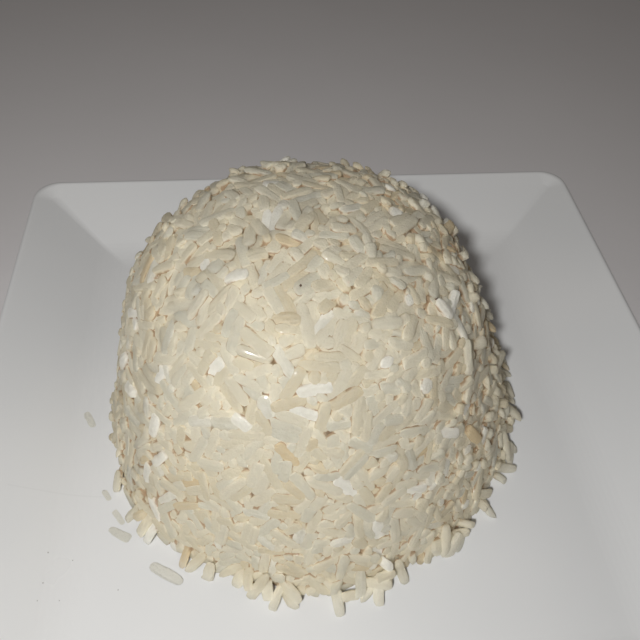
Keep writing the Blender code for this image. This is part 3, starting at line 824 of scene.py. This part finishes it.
# %% Grains by side
SEEN_DEPTH = 4.4  # grains that stay deeper than this aren't seen
DRAWN_WIDTH = (1.03, 1.10)  # drawn over packed width, in loose and in pressed places
FLAT_FACES = 0.42  # share of faces that are plane facets
SOFTNESS = (0.40, 0.60)  # bend of the shading, in loose and in pressed places
LEAST_LUMPY = 0.25  # of the usual lumps, on a wet grain
FACING_SPREAD = 0.3  # of a grain's flat side round the way out of the heap
PRESSED_BELOW = 1.1  # looseness below which a place counts as pressed
SEAM_SHADE_SHARE = 0.60  # how far the sides of grains take the gaps' painted shade
TIP_FILM = 0.35  # how far tips on the plate let its glaze show through
SECTORS = {"front_grains": -150, "right_grains": -30, "left_grains": 90}  # first bearings
SECTOR = 120  # degrees in each


def per_point(values):
    """Repeats values of grains for all points of each grain."""
    return np.repeat(values, GRAIN_POINTS)


seen = ball_depth.min(axis=1) < SEEN_DEPTH
facing = ball_out.reshape(-1, BALLS, 3).mean(axis=1)
facing = unit(facing + FACING_SPREAD * rng.normal(size=facing.shape))
bearing = np.degrees(seen_from_axis(chains[:, 2])[1])
pressed = np.clip(PRESSED_BELOW - looseness(chains[:, 2]), 0, 1)
drawn = width * between(DRAWN_WIDTH, pressed)
point_shares = np.concatenate([np.repeat(RING_SHARES, SIDES), [0, 1]])
rice_pieces = []
for name, first_bearing in SECTORS.items():
    own = seen & ((bearing - first_bearing) % 360 < SECTOR)
    count = int(own.sum())
    dry = 1 - wet[own]
    points = grain_points(
        chains[own], length[own], width[own], drawn[own], facing[own],
        between((LEAST_LUMPY, 1), dry)[:, None, None],
    ).reshape(-1, 3)
    points = press_flat(points, along_grain(stand_out[own], tilt[own], point_shares).ravel())
    faces, places = closed_faces(RINGS, SIDES, count)
    flat = rng.uniform(size=len(faces[0])) < FLAT_FACES * np.repeat(dry, (RINGS - 1) * SIDES)
    plane = np.concatenate([flat, np.ones(len(faces[1]), bool)])
    normals = own_normals(points, faces)
    outward = depth_under_skin(points)[1]
    # The sides of grains in seams, and deep places, get painted shade: the material darkens them
    # to tan.
    values = {
        "tone": per_point(tone[own]),
        "wet": per_point(wet[own]),
        "under": np.maximum(painted_gap_shade(points), SEAM_SHADE_SHARE * painted_seam_shade(points, normals[0])),
        "film": TIP_FILM * reached_out(points),
    }
    piece = make_piece(name, points, faces, values, tiled(places, count))
    bend = between(SOFTNESS, pressed[own]) * dry
    soften_shading(piece, normals, faces, plane, outward, per_point(bend))
    rice_pieces.append(piece)

# %% [markdown]
# ## The core
#
# Under the grains lies a core, so that no gap opens into an empty shell. It follows the form
# a little way down, deeper where the heap is loose, and its relief has the scale of grains. It
# is what shows at the bottom of the seams, as packed rice does.

# %% Core
CORE_ROWS, CORE_COLUMNS = 90, 200
CORE_DEPTH = 1.6
CORE_LEAST_DEPTH = 1.0
CORE_SINKS = 0.95  # how much deeper it lies for each mm of looseness
CORE_RELIEF = 0.4
CORE_MOTTLING = 0.1  # waves of its tone
CORE_CLEARANCE = 0.2  # above the plate
CORE_TOP_GAP = 0.02  # the last ring is this much under the form's top
CORE_CROWDING = 2.5  # power by which the rings crowd towards the top
CORE_WAVES = 14
WAVE_LENGTHS = (5, 9)


def grain_relief(points):
    """A random field between about -1 and 1: waves of 5 to 9 mm in random directions."""
    field = np.zeros(len(points))
    for wave in range(CORE_WAVES):
        push = unit(rng.normal(size=3)) * 2 * math.pi / rng.uniform(*WAVE_LENGTHS)
        field += np.sin(points @ push + rng.uniform(0, 2 * math.pi))
    return field / math.sqrt(CORE_WAVES)


climb = np.linspace(0, 1, CORE_ROWS)
bearing = np.linspace(0, 2 * math.pi, CORE_COLUMNS, endpoint=False)
core_height = (MOUND_HEIGHT - CORE_TOP_GAP) * (1 - (1 - climb) ** CORE_CROWDING)
row_height, column_bearing = np.meshgrid(core_height, bearing, indexing="ij")
skin = skin_point(column_bearing.ravel(), row_height.ravel())
core_depth = CORE_DEPTH + CORE_SINKS * looseness(skin) + CORE_RELIEF * grain_relief(skin)
core_depth = np.maximum(core_depth, CORE_LEAST_DEPTH)
points = skin - depth_under_skin(skin)[1] * core_depth[:, None]
points[:, 2] = np.maximum(points[:, 2], FLOOR_TOP + CORE_CLEARANCE)
bottom = [*axis_at(np.array(0.0)), FLOOR_TOP + CORE_CLEARANCE]
top = points[-CORE_COLUMNS:].mean(axis=0)
points = np.concatenate([points, [bottom, top]])
tones = np.clip(0.5 + CORE_MOTTLING * grain_relief(points), 0, 1)
# The core takes the painted gap shade by its depth, so it shows dark and tan at the bottom of the
# seams.
values = {"tone": tones, "wet": 0.0, "under": painted_gap_shade(points), "film": 0.0}
faces = closed_faces(CORE_ROWS, CORE_COLUMNS)[0]
rice_pieces.append(make_piece("rice_core", points, faces, values))

# %% [markdown]
# ## The plate
#
# The plate is pressed porcelain with a flat square floor, four plain walls that rise to a thin
# rounded rim, and a square foot ring below. It can be made as one closed surface too: a square
# with rounded corners, whose size, corner radius and height change from station to station.
# The stations run from the middle of the underside over the foot ring, up the outside, round
# the rim and down the inside to the middle of the floor.

# %% Sizes of the plate
FLOOR_HALF = 65.0
FLOOR_CORNER = 1.2  # corner radius of the floor's outline
BLEND_RADIUS = 30.0  # the floor turns up into the walls on this radius
WALL_SLOPE = math.radians(24)
RIM_HALF, RIM_HEIGHT = 98.6, 18.6  # middle of the rim's rounding
RIM_CORNER = 8.0
RIM_RADIUS = 1.4
RIM_END = 114  # degrees round the rim's section
RIM_STEPS = 15
VALLEY_HALF = 77.2  # from here the valleys between the walls widen a little
HIP_SHARE = 0.85
HIP_HALF = between((FLOOR_HALF, RIM_HALF), HIP_SHARE)  # from here they round out to the rim
HIP_CORNER = 2.4
FOOT_STATIONS = [  # half side, corner radius, height
    (57, 8, 2.5), (58, 8, 0), (61.4, 8, 0), (62, 8, 0.6), (64, 8, 2.4),
]
FLAT_SHARES = np.array([0.98, 0.8, 0.5, 0.2])[:, None]  # sizes of the rings on flat parts
HELD_EDGE = 0.25  # how near to an edge smooth shading is held
HELD_SHARE = 0.3  # of a short step, where that is less
HIP_STEPS, WALL_STEPS = 4, 19
CORNER_STEPS, EDGE_STEPS = 10, 12  # points of a ring, for each corner and each side


def wall_top(half):
    """Height of the plate's inside at a half side: flat, then an arc, then a plain slope."""
    blend_end = FLOOR_HALF + BLEND_RADIUS * math.sin(WALL_SLOPE)
    reach = np.clip(half - FLOOR_HALF, 0, blend_end - FLOOR_HALF)
    arc = BLEND_RADIUS - np.sqrt(BLEND_RADIUS ** 2 - reach ** 2)
    return FLOOR_TOP + arc + np.maximum(half - blend_end, 0) * math.tan(WALL_SLOPE)


def plate_height(x, y):
    """Height of the plate's inside at places seen from above."""
    return wall_top(np.maximum(np.abs(x), np.abs(y)))


def plate_stations():
    """Half side, corner radius and height of each ring, from below to the inside."""
    turn = np.radians(np.linspace(-90, RIM_END, RIM_STEPS))
    rim = np.stack([
        RIM_HALF + RIM_RADIUS * np.cos(turn), np.full(RIM_STEPS, RIM_CORNER),
        RIM_HEIGHT + RIM_RADIUS * np.sin(turn),
    ], axis=1)
    half = np.concatenate([
        np.linspace(rim[-1, 0], HIP_HALF, HIP_STEPS)[1:],
        np.linspace(HIP_HALF, FLOOR_HALF, WALL_STEPS)[1:],
    ])
    corner = np.interp(
        half, [FLOOR_HALF, VALLEY_HALF, HIP_HALF, rim[-1, 0]],
        [FLOOR_CORNER, FLOOR_CORNER, HIP_CORNER, RIM_CORNER],
    )
    inside = np.stack([half, corner, wall_top(half)], axis=1)
    floor = np.array([[FLOOR_HALF, FLOOR_CORNER, 0]]) * FLAT_SHARES + [0, 0, FLOOR_TOP]
    foot = FOOT_STATIONS[0]
    recess = np.array([[*foot[:2], 0]]) * FLAT_SHARES[::-1] + [0, 0, foot[2]]
    return np.concatenate([recess, FOOT_STATIONS, rim, inside, floor])


def with_held_edges(stations):
    """Adds a station close before and after each one, so that smooth shading stays near
    the edges it rounds."""
    step = np.diff(stations, axis=0)
    span = np.hypot(step[:, 0], step[:, 2])[:, None]
    near = step * np.minimum(HELD_EDGE / np.maximum(span, 1e-9), HELD_SHARE)
    rows = np.stack([stations[:-1], stations[:-1] + near, stations[1:] - near], axis=1)
    return np.concatenate([rows.reshape(-1, 3), stations[-1:]])


def rounded_squares(stations):
    """A ring of points for each station, anticlockwise from the +X side: for each corner an
    arc round its middle, then even steps along the straight side to the next arc."""
    half, corner, height = stations.T[:, :, None, None]
    quarter = np.radians(90 * np.arange(4)[:, None])
    turn = quarter + np.radians(np.linspace(0, 90, CORNER_STEPS + 1)[None])
    sign_x = np.sign(np.cos(quarter + math.pi / 4))
    sign_y = np.sign(np.sin(quarter + math.pi / 4))
    arc = np.stack([
        sign_x * (half - corner) + corner * np.cos(turn),
        sign_y * (half - corner) + corner * np.sin(turn),
    ], axis=-1)
    following = np.roll(arc[:, :, :1], -1, axis=1)
    share = np.linspace(0, 1, EDGE_STEPS + 1)[1:-1, None]
    edge = arc[:, :, -1:] * (1 - share) + following * share
    flat = np.concatenate([arc, edge], axis=2).reshape(len(stations), -1, 2)
    level = np.broadcast_to(height, (*flat.shape[:2], 1))
    return np.concatenate([flat, level], axis=2)


stations = with_held_edges(plate_stations())
rings = rounded_squares(stations)
tips = [[0, 0, stations[0, 2]], [0, 0, stations[-1, 2]]]
points = np.concatenate([rings.reshape(-1, 3), tips])
plate = make_piece("square_plate", points, closed_faces(*rings.shape[:2])[0])

# %% [markdown]
# ## Stray grains
#
# Five grains lie loose on the plate, left of the heap. Two are whole and cream. The others are
# thin and wet and let the glaze show through, so they are drawn flat and nearly in its tint.

# %% Strays
STRAYS = [  # x, y, length, bearing, width, thickness, tone, film
    (-46.9, -42.7, 9.8, -32, 2.7, 0.42, 1.00, 0.70),
    (-59.5, -31.5, 6.6, -31, 2.1, 0.30, 0.80, 0.85),
    (-60.2, -26.9, 5.0, -54, 1.5, 0.14, 0.55, 0.95),
    (-64.0, -20.4, 3.6, -57, 1.3, 0.14, 0.55, 0.95),
    (-71.3, 3.4, 5.6, -61, 1.8, 0.12, 0.55, 1.00),
]
STRAY_SOFTNESS = 0.85  # they are thin, so the plate below lights them evenly
STRAY_RISE = 0.08  # of the middle line above the plate, over width times thickness
STRAY_CLEARANCE = 0.02
STRAY_GLOSS = 0.5  # wetness of a grain that is all film
UP = np.array([[0.0, 0.0, 1.0]])
x, y, stray_length, bearing, stray_width, thickness, stray_tone, film = np.array(STRAYS).T
middle = np.stack([x, y, 0 * x], axis=1)
stray_chains = rod(middle, level_way(np.radians(bearing)), stray_length, stray_width)
points = grain_points(
    stray_chains, stray_length, stray_width, stray_width,
    np.repeat(UP, len(STRAYS), axis=0), 1.0,
)
points[:, :, 2] *= thickness[:, None]
points = points.reshape(-1, 3)
rise = per_point(STRAY_RISE * stray_width * thickness)
above = np.maximum(points[:, 2] + rise, STRAY_CLEARANCE)
points[:, 2] = above + plate_height(points[:, 0], points[:, 1])
faces, places = closed_faces(RINGS, SIDES, len(STRAYS))
values = {"tone": per_point(stray_tone), "wet": per_point(STRAY_GLOSS * film), "under": 0.0,
          "film": per_point(film)}
strays = make_piece("stray_grains", points, faces, values, tiled(places, len(STRAYS)))
plane = np.zeros(len(faces[0]) + len(faces[1]), bool)
upward, bend = np.repeat(UP, len(points), axis=0), np.full(len(points), STRAY_SOFTNESS)
soften_shading(strays, own_normals(points, faces), faces, plane, upward, bend)

# %% [markdown]
# ## Specks
#
# A few dark bits of husk stick to the rice, and the plate has some specks near its front left
# corner. Each is a lump of half a millimetre: three rings of six points, each point pushed in
# or out at random.

# %% Lumps
LUMP_RINGS, LUMP_SIDES = 3, 6
LUMP_SPREAD = (0.75, 1.25)  # factors of the radius


def lump_points(middle, radius, stretch):
    """Points of lumps: a sphere by latitude and longitude, stretched along a random
    direction, with a random factor at every point."""
    latitude = np.linspace(-1, 1, LUMP_RINGS + 2)[1:-1] * math.pi / 2
    longitude = np.linspace(0, 2 * math.pi, LUMP_SIDES, endpoint=False)
    latitude, longitude = np.meshgrid(latitude, longitude, indexing="ij")
    ball = np.stack([
        np.cos(latitude) * np.cos(longitude), np.cos(latitude) * np.sin(longitude),
        np.sin(latitude),
    ], axis=-1).reshape(-1, 3)
    ball = np.concatenate([ball, [[0, 0, -1], [0, 0, 1]]])
    points = ball[None] * rng.uniform(*LUMP_SPREAD, (len(middle), len(ball), 1))
    axis = unit(rng.normal(size=(len(middle), 1, 3)))
    points = points + axis * np.sum(points * axis, axis=2, keepdims=True) * (stretch - 1)
    return middle[:, None] + points * radius[:, None, None]


# %% Specks
HUSK_SPOTS = [  # bearing, height, radius
    (327.0, 58.8, 0.40), (328.6, 58.9, 0.34), (263.0, 66.6, 0.26),
]
PLATE_SPOTS = [  # x, y, radius
    (-76.3, -35.9, 0.22), (-70.4, -37.7, 0.18), (-76.3, -43.4, 0.20), (-76.8, -47.6, 0.17),
    (-72.1, -47.5, 0.15), (-58.5, -45.8, 0.18),
]
HUSK_STRETCH, DUST_STRETCH = 1.6, 1.2
HUSK_SINK = 0.05  # how far a husk's middle lies under the skin
DUST_FLATNESS = 0.3  # height over what a round speck would have


def make_lumps(name, points):
    """Makes a piece of equal closed lumps from one row of points for each."""
    faces, places = closed_faces(LUMP_RINGS, LUMP_SIDES, len(points))
    return make_piece(name, points.reshape(-1, 3), faces, None, tiled(places, len(points)))


bearing, height, husk_radius = np.array(HUSK_SPOTS).T
husk_middle, outward = skin_frame(np.radians(bearing), height)[:2]
husk_points = lump_points(husk_middle - HUSK_SINK * outward, husk_radius, HUSK_STRETCH)
husks = make_lumps("husk_specks", husk_points)
x, y, dot_radius = np.array(PLATE_SPOTS).T
dot_middle = np.stack([x, y, plate_height(x, y)], axis=1)
dot_points = lump_points(dot_middle, dot_radius, DUST_STRETCH)
level = dot_middle[:, None, 2]
dot_points[:, :, 2] = level + DUST_FLATNESS * (dot_points[:, :, 2] - level)
dots = make_lumps("plate_specks", dot_points)

# %% [markdown]
# ## Which solids these pieces stand for
#
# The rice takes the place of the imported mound, and the plate with its strays and specks that of
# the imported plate. Both solids stay in the model for the physics, and nothing here moves.

# %% Ride and replace
stands_for = [(piece, "rice", "rice_mound") for piece in [*rice_pieces, husks]]
stands_for += [
    (plate, "porcelain", "plate"), (strays, "rice", "plate"), (dots, "porcelain", "plate"),
]
for piece, slot, node in stands_for:
    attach(piece, "root")
    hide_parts(node)
print("pieces", len(stands_for))

# %% [markdown]
# ## A small language for materials
#
# A material is a graph of nodes, and its sums read best as sums. So one class wraps a node's
# output and turns + - and * into Math nodes, also when a plain number comes first, as in
# `1 - mask`. Every other node comes from one method, which takes the node's type, its settings
# and then the values or links of its inputs.

# %% Sockets and graphs
PER_METRE = 1 / MM  # what is given for a millimetre, for a metre


class Socket:
    """A node's output that can be used in sums. Each operator adds a Math node."""

    def __init__(self, graph, output):
        self.graph = graph
        self.output = output

    def maths(self, operation, one, other):
        return self.graph.node("ShaderNodeMath", {"operation": operation}, one, other)

    def __add__(self, other):
        return self.maths("ADD", self, other)

    def __sub__(self, other):
        return self.maths("SUBTRACT", self, other)

    def __rsub__(self, other):
        return self.maths("SUBTRACT", other, self)

    def __mul__(self, other):
        return self.maths("MULTIPLY", self, other)

    __radd__ = __add__
    __rmul__ = __mul__


class Graph:
    """The nodes of one material. Its place is a point of the surface, in metres."""

    def __init__(self, name):
        self.material = bpy.data.materials.new(name)
        self.material.use_nodes = True
        self.tree = self.material.node_tree
        self.shader = self.tree.nodes["Principled BSDF"]
        self.place = self.node("ShaderNodeTexCoord", {}, output="Object")

    def node(self, kind, settings, *values, output=0, **named):
        """Adds a node: its settings first, then the values or links of its inputs."""
        node = self.tree.nodes.new(kind)
        for key, value in settings.items():
            if key == "stops":
                self.set_stops(node.color_ramp, value)
            else:
                setattr(node, key, value)
        for key, value in [*enumerate(values), *named.items()]:
            self.feed(node, key, value)
        return Socket(self, node.outputs[output])

    def set_stops(self, ramp, stops):
        """Gives a colour ramp its stops: position, and red, green and blue."""
        while len(ramp.elements) < len(stops):
            ramp.elements.new(0.5)
        for element, (position, colour) in zip(ramp.elements, stops):
            element.position = position
            element.color = (*colour, 1)

    def feed(self, node, key, value):
        """Links a socket to a node's input, or sets a plain value on it. The input is given
        by its number, or by its name with _ for a space."""
        entry = node.inputs[key.replace("_", " ") if isinstance(key, str) else key]
        if isinstance(value, Socket):
            self.tree.links.new(value.output, entry)
        else:
            entry.default_value = value

    def set(self, **named):
        """Sets or links inputs of the Principled shader."""
        for key, value in named.items():
            self.feed(self.shader, key, value)

    def mix(self, factor, one, other):
        """A colour between two colours."""
        mixed = self.node("ShaderNodeMix", {"data_type": "RGBA"}, factor, output=2)
        self.feed(mixed.output.node, 6, one)
        self.feed(mixed.output.node, 7, other)
        return mixed

    def attribute(self, name):
        """A number that belongs to the mesh's points."""
        return self.node("ShaderNodeAttribute", {"attribute_name": name}, output="Fac")

    def noise(self, waves, detail=2.0, place=None):
        """Smooth random values round 0.5, with so many waves for each millimetre, or for each
        unit of a place that is given."""
        scale = waves if place else waves * PER_METRE
        return self.node("ShaderNodeTexNoise", {}, Vector=place or self.place, Scale=scale,
                         Detail=detail)

    def vector(self, operation, *values, **named):
        """A sum, product or length of vectors."""
        return self.node("ShaderNodeVectorMath", {"operation": operation}, *values, **named)

    def bump(self, strength, millimetres, height):
        """The directions of a surface that a height map makes uneven."""
        return self.node("ShaderNodeBump", {}, Strength=strength, Distance=millimetres * MM,
                         Height=height)

    def smooth_step(self, value, low, high):
        """0 below low, 1 above high and a soft step between."""
        return self.node("ShaderNodeMapRange", {"interpolation_type": "SMOOTHSTEP"},
                         value, low, high, 0.0, 1.0)


# %% [markdown]
# ## Rice
#
# Steamed rice is translucent: light goes in, wanders some millimetres and comes out warm, so
# seams between grains look shallow and shadows soft. The shader's subsurface part does that.
# The tone of each grain picks a colour from a ramp, from tan over cream and pearl to glassy
# grey and chalk, and noise makes patches in the heap and streaks along each grain. Gaps and
# the sides of grains in seams get painted shade: tan, and brown here and there. The skin is
# half matt, with fine wrinkles, and some places are wet and shine.

# %% Rice material
RICE_TONES = [  # from golden to chalky
    (0.00, (0.50, 0.40, 0.25)),
    (0.30, (0.52, 0.47, 0.35)),
    (0.55, (0.56, 0.52, 0.41)),
    (0.77, (0.49, 0.465, 0.375)),
    (1.00, (0.65, 0.63, 0.56)),
]
# Painted shade: gaps and the sides of grains in seams turn tan where deeper, and brown in noisy
# patches of the deepest.
GAP_SHADE_TAN = (0.40, 0.305, 0.185, 1)
GAP_SHADE_BROWN = (0.28, 0.185, 0.105, 1)
FILM_CREAM = (0.83, 0.815, 0.73, 1)
SHADE_TAN_SHARE, SHADE_BROWN_SHARE, FILM_SHARE = 0.85, 0.85, 0.9
SHADE_BROWN_DEPTHS = (0.15, 0.45)  # where brown begins and is full, from 0 at the surface
SHADE_BROWN_NOISE = (0.43, 0.55)  # to 1 in the deepest gaps, and the same for its noise
DROP_NOISE = (0.63, 0.72)
DROP_GLOSS, WET_GLOSS = 0.5, 0.8
RICE_NOISES = {  # waves for each millimetre, and detail
    "patches": (0.05, 1.0), "mottling": (0.7, 2.0), "shade_spots": (0.4, 2.0),
    "drops": (0.9, 1.0), "fine": (2.2, 2.0),
}
STREAKS = (60, 400, 0)  # waves along and round all grains of the texture map
STREAK_RELIEF, FINE_RELIEF, MOTTLED_RELIEF = 0.6, 0.5, 0.7
TONE_WAVES = (0.12, 0.16, 0.14)  # what patches, mottling and streaks add to the tone


def rice_material(name, scattering):
    """Rice in which a share of the light wanders beneath the surface."""
    graph = Graph(name)
    patches, mottling, shade_spots, drops, fine = (graph.noise(*own) for own in RICE_NOISES.values())
    own_map = graph.node("ShaderNodeUVMap", {"uv_map": MAP})
    streak = graph.noise(1.0, 1.0, graph.vector("MULTIPLY", own_map, STREAKS))
    tone = graph.attribute("tone")
    for amount, waves in zip(TONE_WAVES, (patches, mottling, streak)):
        tone = tone + amount * (waves - 0.5)
    colour = graph.node("ShaderNodeValToRGB", {"stops": RICE_TONES}, tone)
    # Painted shade in gaps and seams: tan, and here and there brown.
    under = graph.attribute("under")
    colour = graph.mix(under * SHADE_TAN_SHARE, colour, GAP_SHADE_TAN)
    brown_shade = graph.smooth_step(under, *SHADE_BROWN_DEPTHS) * graph.smooth_step(shade_spots, *SHADE_BROWN_NOISE)
    colour = graph.mix(brown_shade * SHADE_BROWN_SHARE, colour, GAP_SHADE_BROWN)
    colour = graph.mix(graph.attribute("film") * FILM_SHARE, colour, FILM_CREAM)
    wet = graph.smooth_step(drops, *DROP_NOISE) * DROP_GLOSS + graph.attribute("wet") * WET_GLOSS
    wrinkles = STREAK_RELIEF * streak + FINE_RELIEF * fine + MOTTLED_RELIEF * mottling
    graph.set(Base_Color=colour, Normal=graph.bump(0.8, 0.26, wrinkles), Coat_Weight=wet,
              Roughness=0.60 + 0.35 * (fine - 0.5) - wet * 0.2)
    graph.shader.subsurface_method = "BURLEY"
    graph.set(Specular_IOR_Level=0.2, Subsurface_Weight=scattering, Subsurface_Scale=4.5 * MM,
              Subsurface_Radius=(1.0, 0.93, 0.8), Coat_Roughness=0.12)
    return graph.material


rice = rice_material("steamed_rice", 0.6)
for piece in rice_pieces:
    piece.data.materials.append(rice)
strays.data.materials.append(rice_material("stray_rice", 0.0))
print("rice nodes", len(rice.node_tree.nodes))

# %% [markdown]
# ## Porcelain
#
# The glaze is a smooth and nearly neutral white. A glaze is never quite even: it waves by some
# hundredths of a millimetre, and its gloss changes a little where it was wiped. Under the foot
# ring the bare clay shows, matt and warmer. A faint line crosses the glaze at the left.

# %% Porcelain material
GLAZE = (0.82, 0.82, 0.81, 1)
GLAZE_SHADE = (0.78, 0.785, 0.78, 1)
BARE_CLAY = (0.66, 0.63, 0.57, 1)
LINE_START = (-87.6, -19.1)
LINE_END = (-63.1, -20.9)
LINE_WIDTH = 0.35
LINE_GREY = (0.4, 0.4, 0.38, 1)
LINE_SHARE = 0.07
SHADE_NOISE = (0.3, 0.7)
BARE_HEIGHTS = (0.1 * MM, 0.5 * MM)  # above these the glaze begins


def distance_to_line(graph):
    """Distance in millimetres from the line on the plate, seen from above: of the vector from
    its start, what is left when the part along the line, held between its ends, is gone."""
    run = np.subtract(LINE_END, LINE_START)
    span = float(np.hypot(*run))
    ahead = (*(run / span), 0)
    flat = graph.vector("MULTIPLY", graph.place, (PER_METRE, PER_METRE, 0))
    away = graph.vector("SUBTRACT", flat, (*LINE_START, 0))
    share = graph.vector("DOT_PRODUCT", away, ahead, output="Value")
    share = graph.node("ShaderNodeClamp", {}, share, 0.0, span)
    rest = graph.vector("SUBTRACT", away, graph.vector("SCALE", ahead, Scale=share))
    return graph.vector("LENGTH", rest, output="Value")


def porcelain_material():
    graph = Graph("porcelain")
    height = graph.node("ShaderNodeSeparateXYZ", {}, graph.place, output="Z")
    waves, wiped, grit = graph.noise(0.02, 1.0), graph.noise(0.04, 3.0), graph.noise(1.5)
    bare = 1 - graph.smooth_step(height, *BARE_HEIGHTS)
    line = 1 - graph.smooth_step(distance_to_line(graph), 0.0, LINE_WIDTH)
    colour = graph.mix(graph.smooth_step(waves, *SHADE_NOISE), GLAZE, GLAZE_SHADE)
    colour = graph.mix(line * LINE_SHARE, colour, LINE_GREY)
    colour = graph.mix(bare, colour, BARE_CLAY)
    bump = graph.bump(0.35, 0.25, waves + bare * grit * 0.5)
    graph.set(Base_Color=colour, Normal=bump,
              Roughness=0.30 + 0.12 * (wiped - 0.5) + bare * 0.5 + line * 0.1, IOR=1.45)
    return graph.material


porcelain = porcelain_material()
plate.data.materials.append(porcelain)
print("porcelain nodes", len(porcelain.node_tree.nodes))

# %% [markdown]
# ## Husk and specks
#
# Both are dull bits of dry plant skin, dark brown on the rice and grey-brown on the plate,
# blotched by noise.

# %% Speck materials


def speck_material(name, dark, light):
    graph = Graph(name)
    blotches = graph.noise(3.0)
    graph.set(Base_Color=graph.mix(blotches, dark, light), Normal=graph.bump(0.5, 0.1, blotches),
              Roughness=0.6 + 0.3 * (blotches - 0.5))
    return graph.material


husks.data.materials.append(speck_material("husk", (0.03, 0.015, 0.01, 1), (0.16, 0.09, 0.05, 1)))
dots.data.materials.append(speck_material("dust", (0.42, 0.41, 0.39, 1), (0.58, 0.57, 0.55, 1)))

# %% [markdown]
# ## Floor, light and world
#
# The dish stands on a plain pale floor. The one light is a small soft lamp left of the camera,
# behind it and above it, which gives the narrow shadow at the right of the heap. A weak,
# slightly warm world fills the shadows.

# %% Floor
FLOOR_SIZE = 0.9  # half side in metres
FLOOR_GREY = (0.80, 0.775, 0.77, 1)
FLOOR_SHADE = (0.76, 0.735, 0.73, 1)

corners = np.array([(-1, -1, 0), (1, -1, 0), (1, 1, 0), (-1, 1, 0)]) * FLOOR_SIZE / MM
floor = make_piece("floor", corners, [np.array([[0, 1, 2, 3]])])
graph = Graph("table")
graph.set(Base_Color=graph.mix(graph.noise(0.02, 4.0), FLOOR_GREY, FLOOR_SHADE), Roughness=0.8)
floor.data.materials.append(graph.material)

# %% World and light
LAMP_PLACE = (-80, -176, 262)
LAMP_AIM = (-5, 0, 35)
LAMP_SIZE = 0.020  # metres
LAMP_POWER = 0.660  # watts
SKY = (1.0, 0.92, 0.86, 1)
SKY_STRENGTH = 0.09

world = bpy.data.worlds.new("world")
bpy.context.scene.world = world
world.use_nodes = True
background = world.node_tree.nodes["Background"]
background.inputs["Color"].default_value = SKY
background.inputs["Strength"].default_value = SKY_STRENGTH
lamp_data = bpy.data.lights.new("lamp", "AREA")
lamp_data.size = LAMP_SIZE
lamp_data.energy = LAMP_POWER
lamp = bpy.data.objects.new("lamp", lamp_data)
bpy.context.scene.collection.objects.link(lamp)
ray = Vector(LAMP_AIM) - Vector(LAMP_PLACE)
lamp.location = Vector(LAMP_PLACE) * MM
lamp.rotation_euler = ray.to_track_quat("-Z", "Y").to_euler()
bpy.context.scene.view_settings.view_transform = "Standard"
print("lamp at", LAMP_PLACE, "mm")
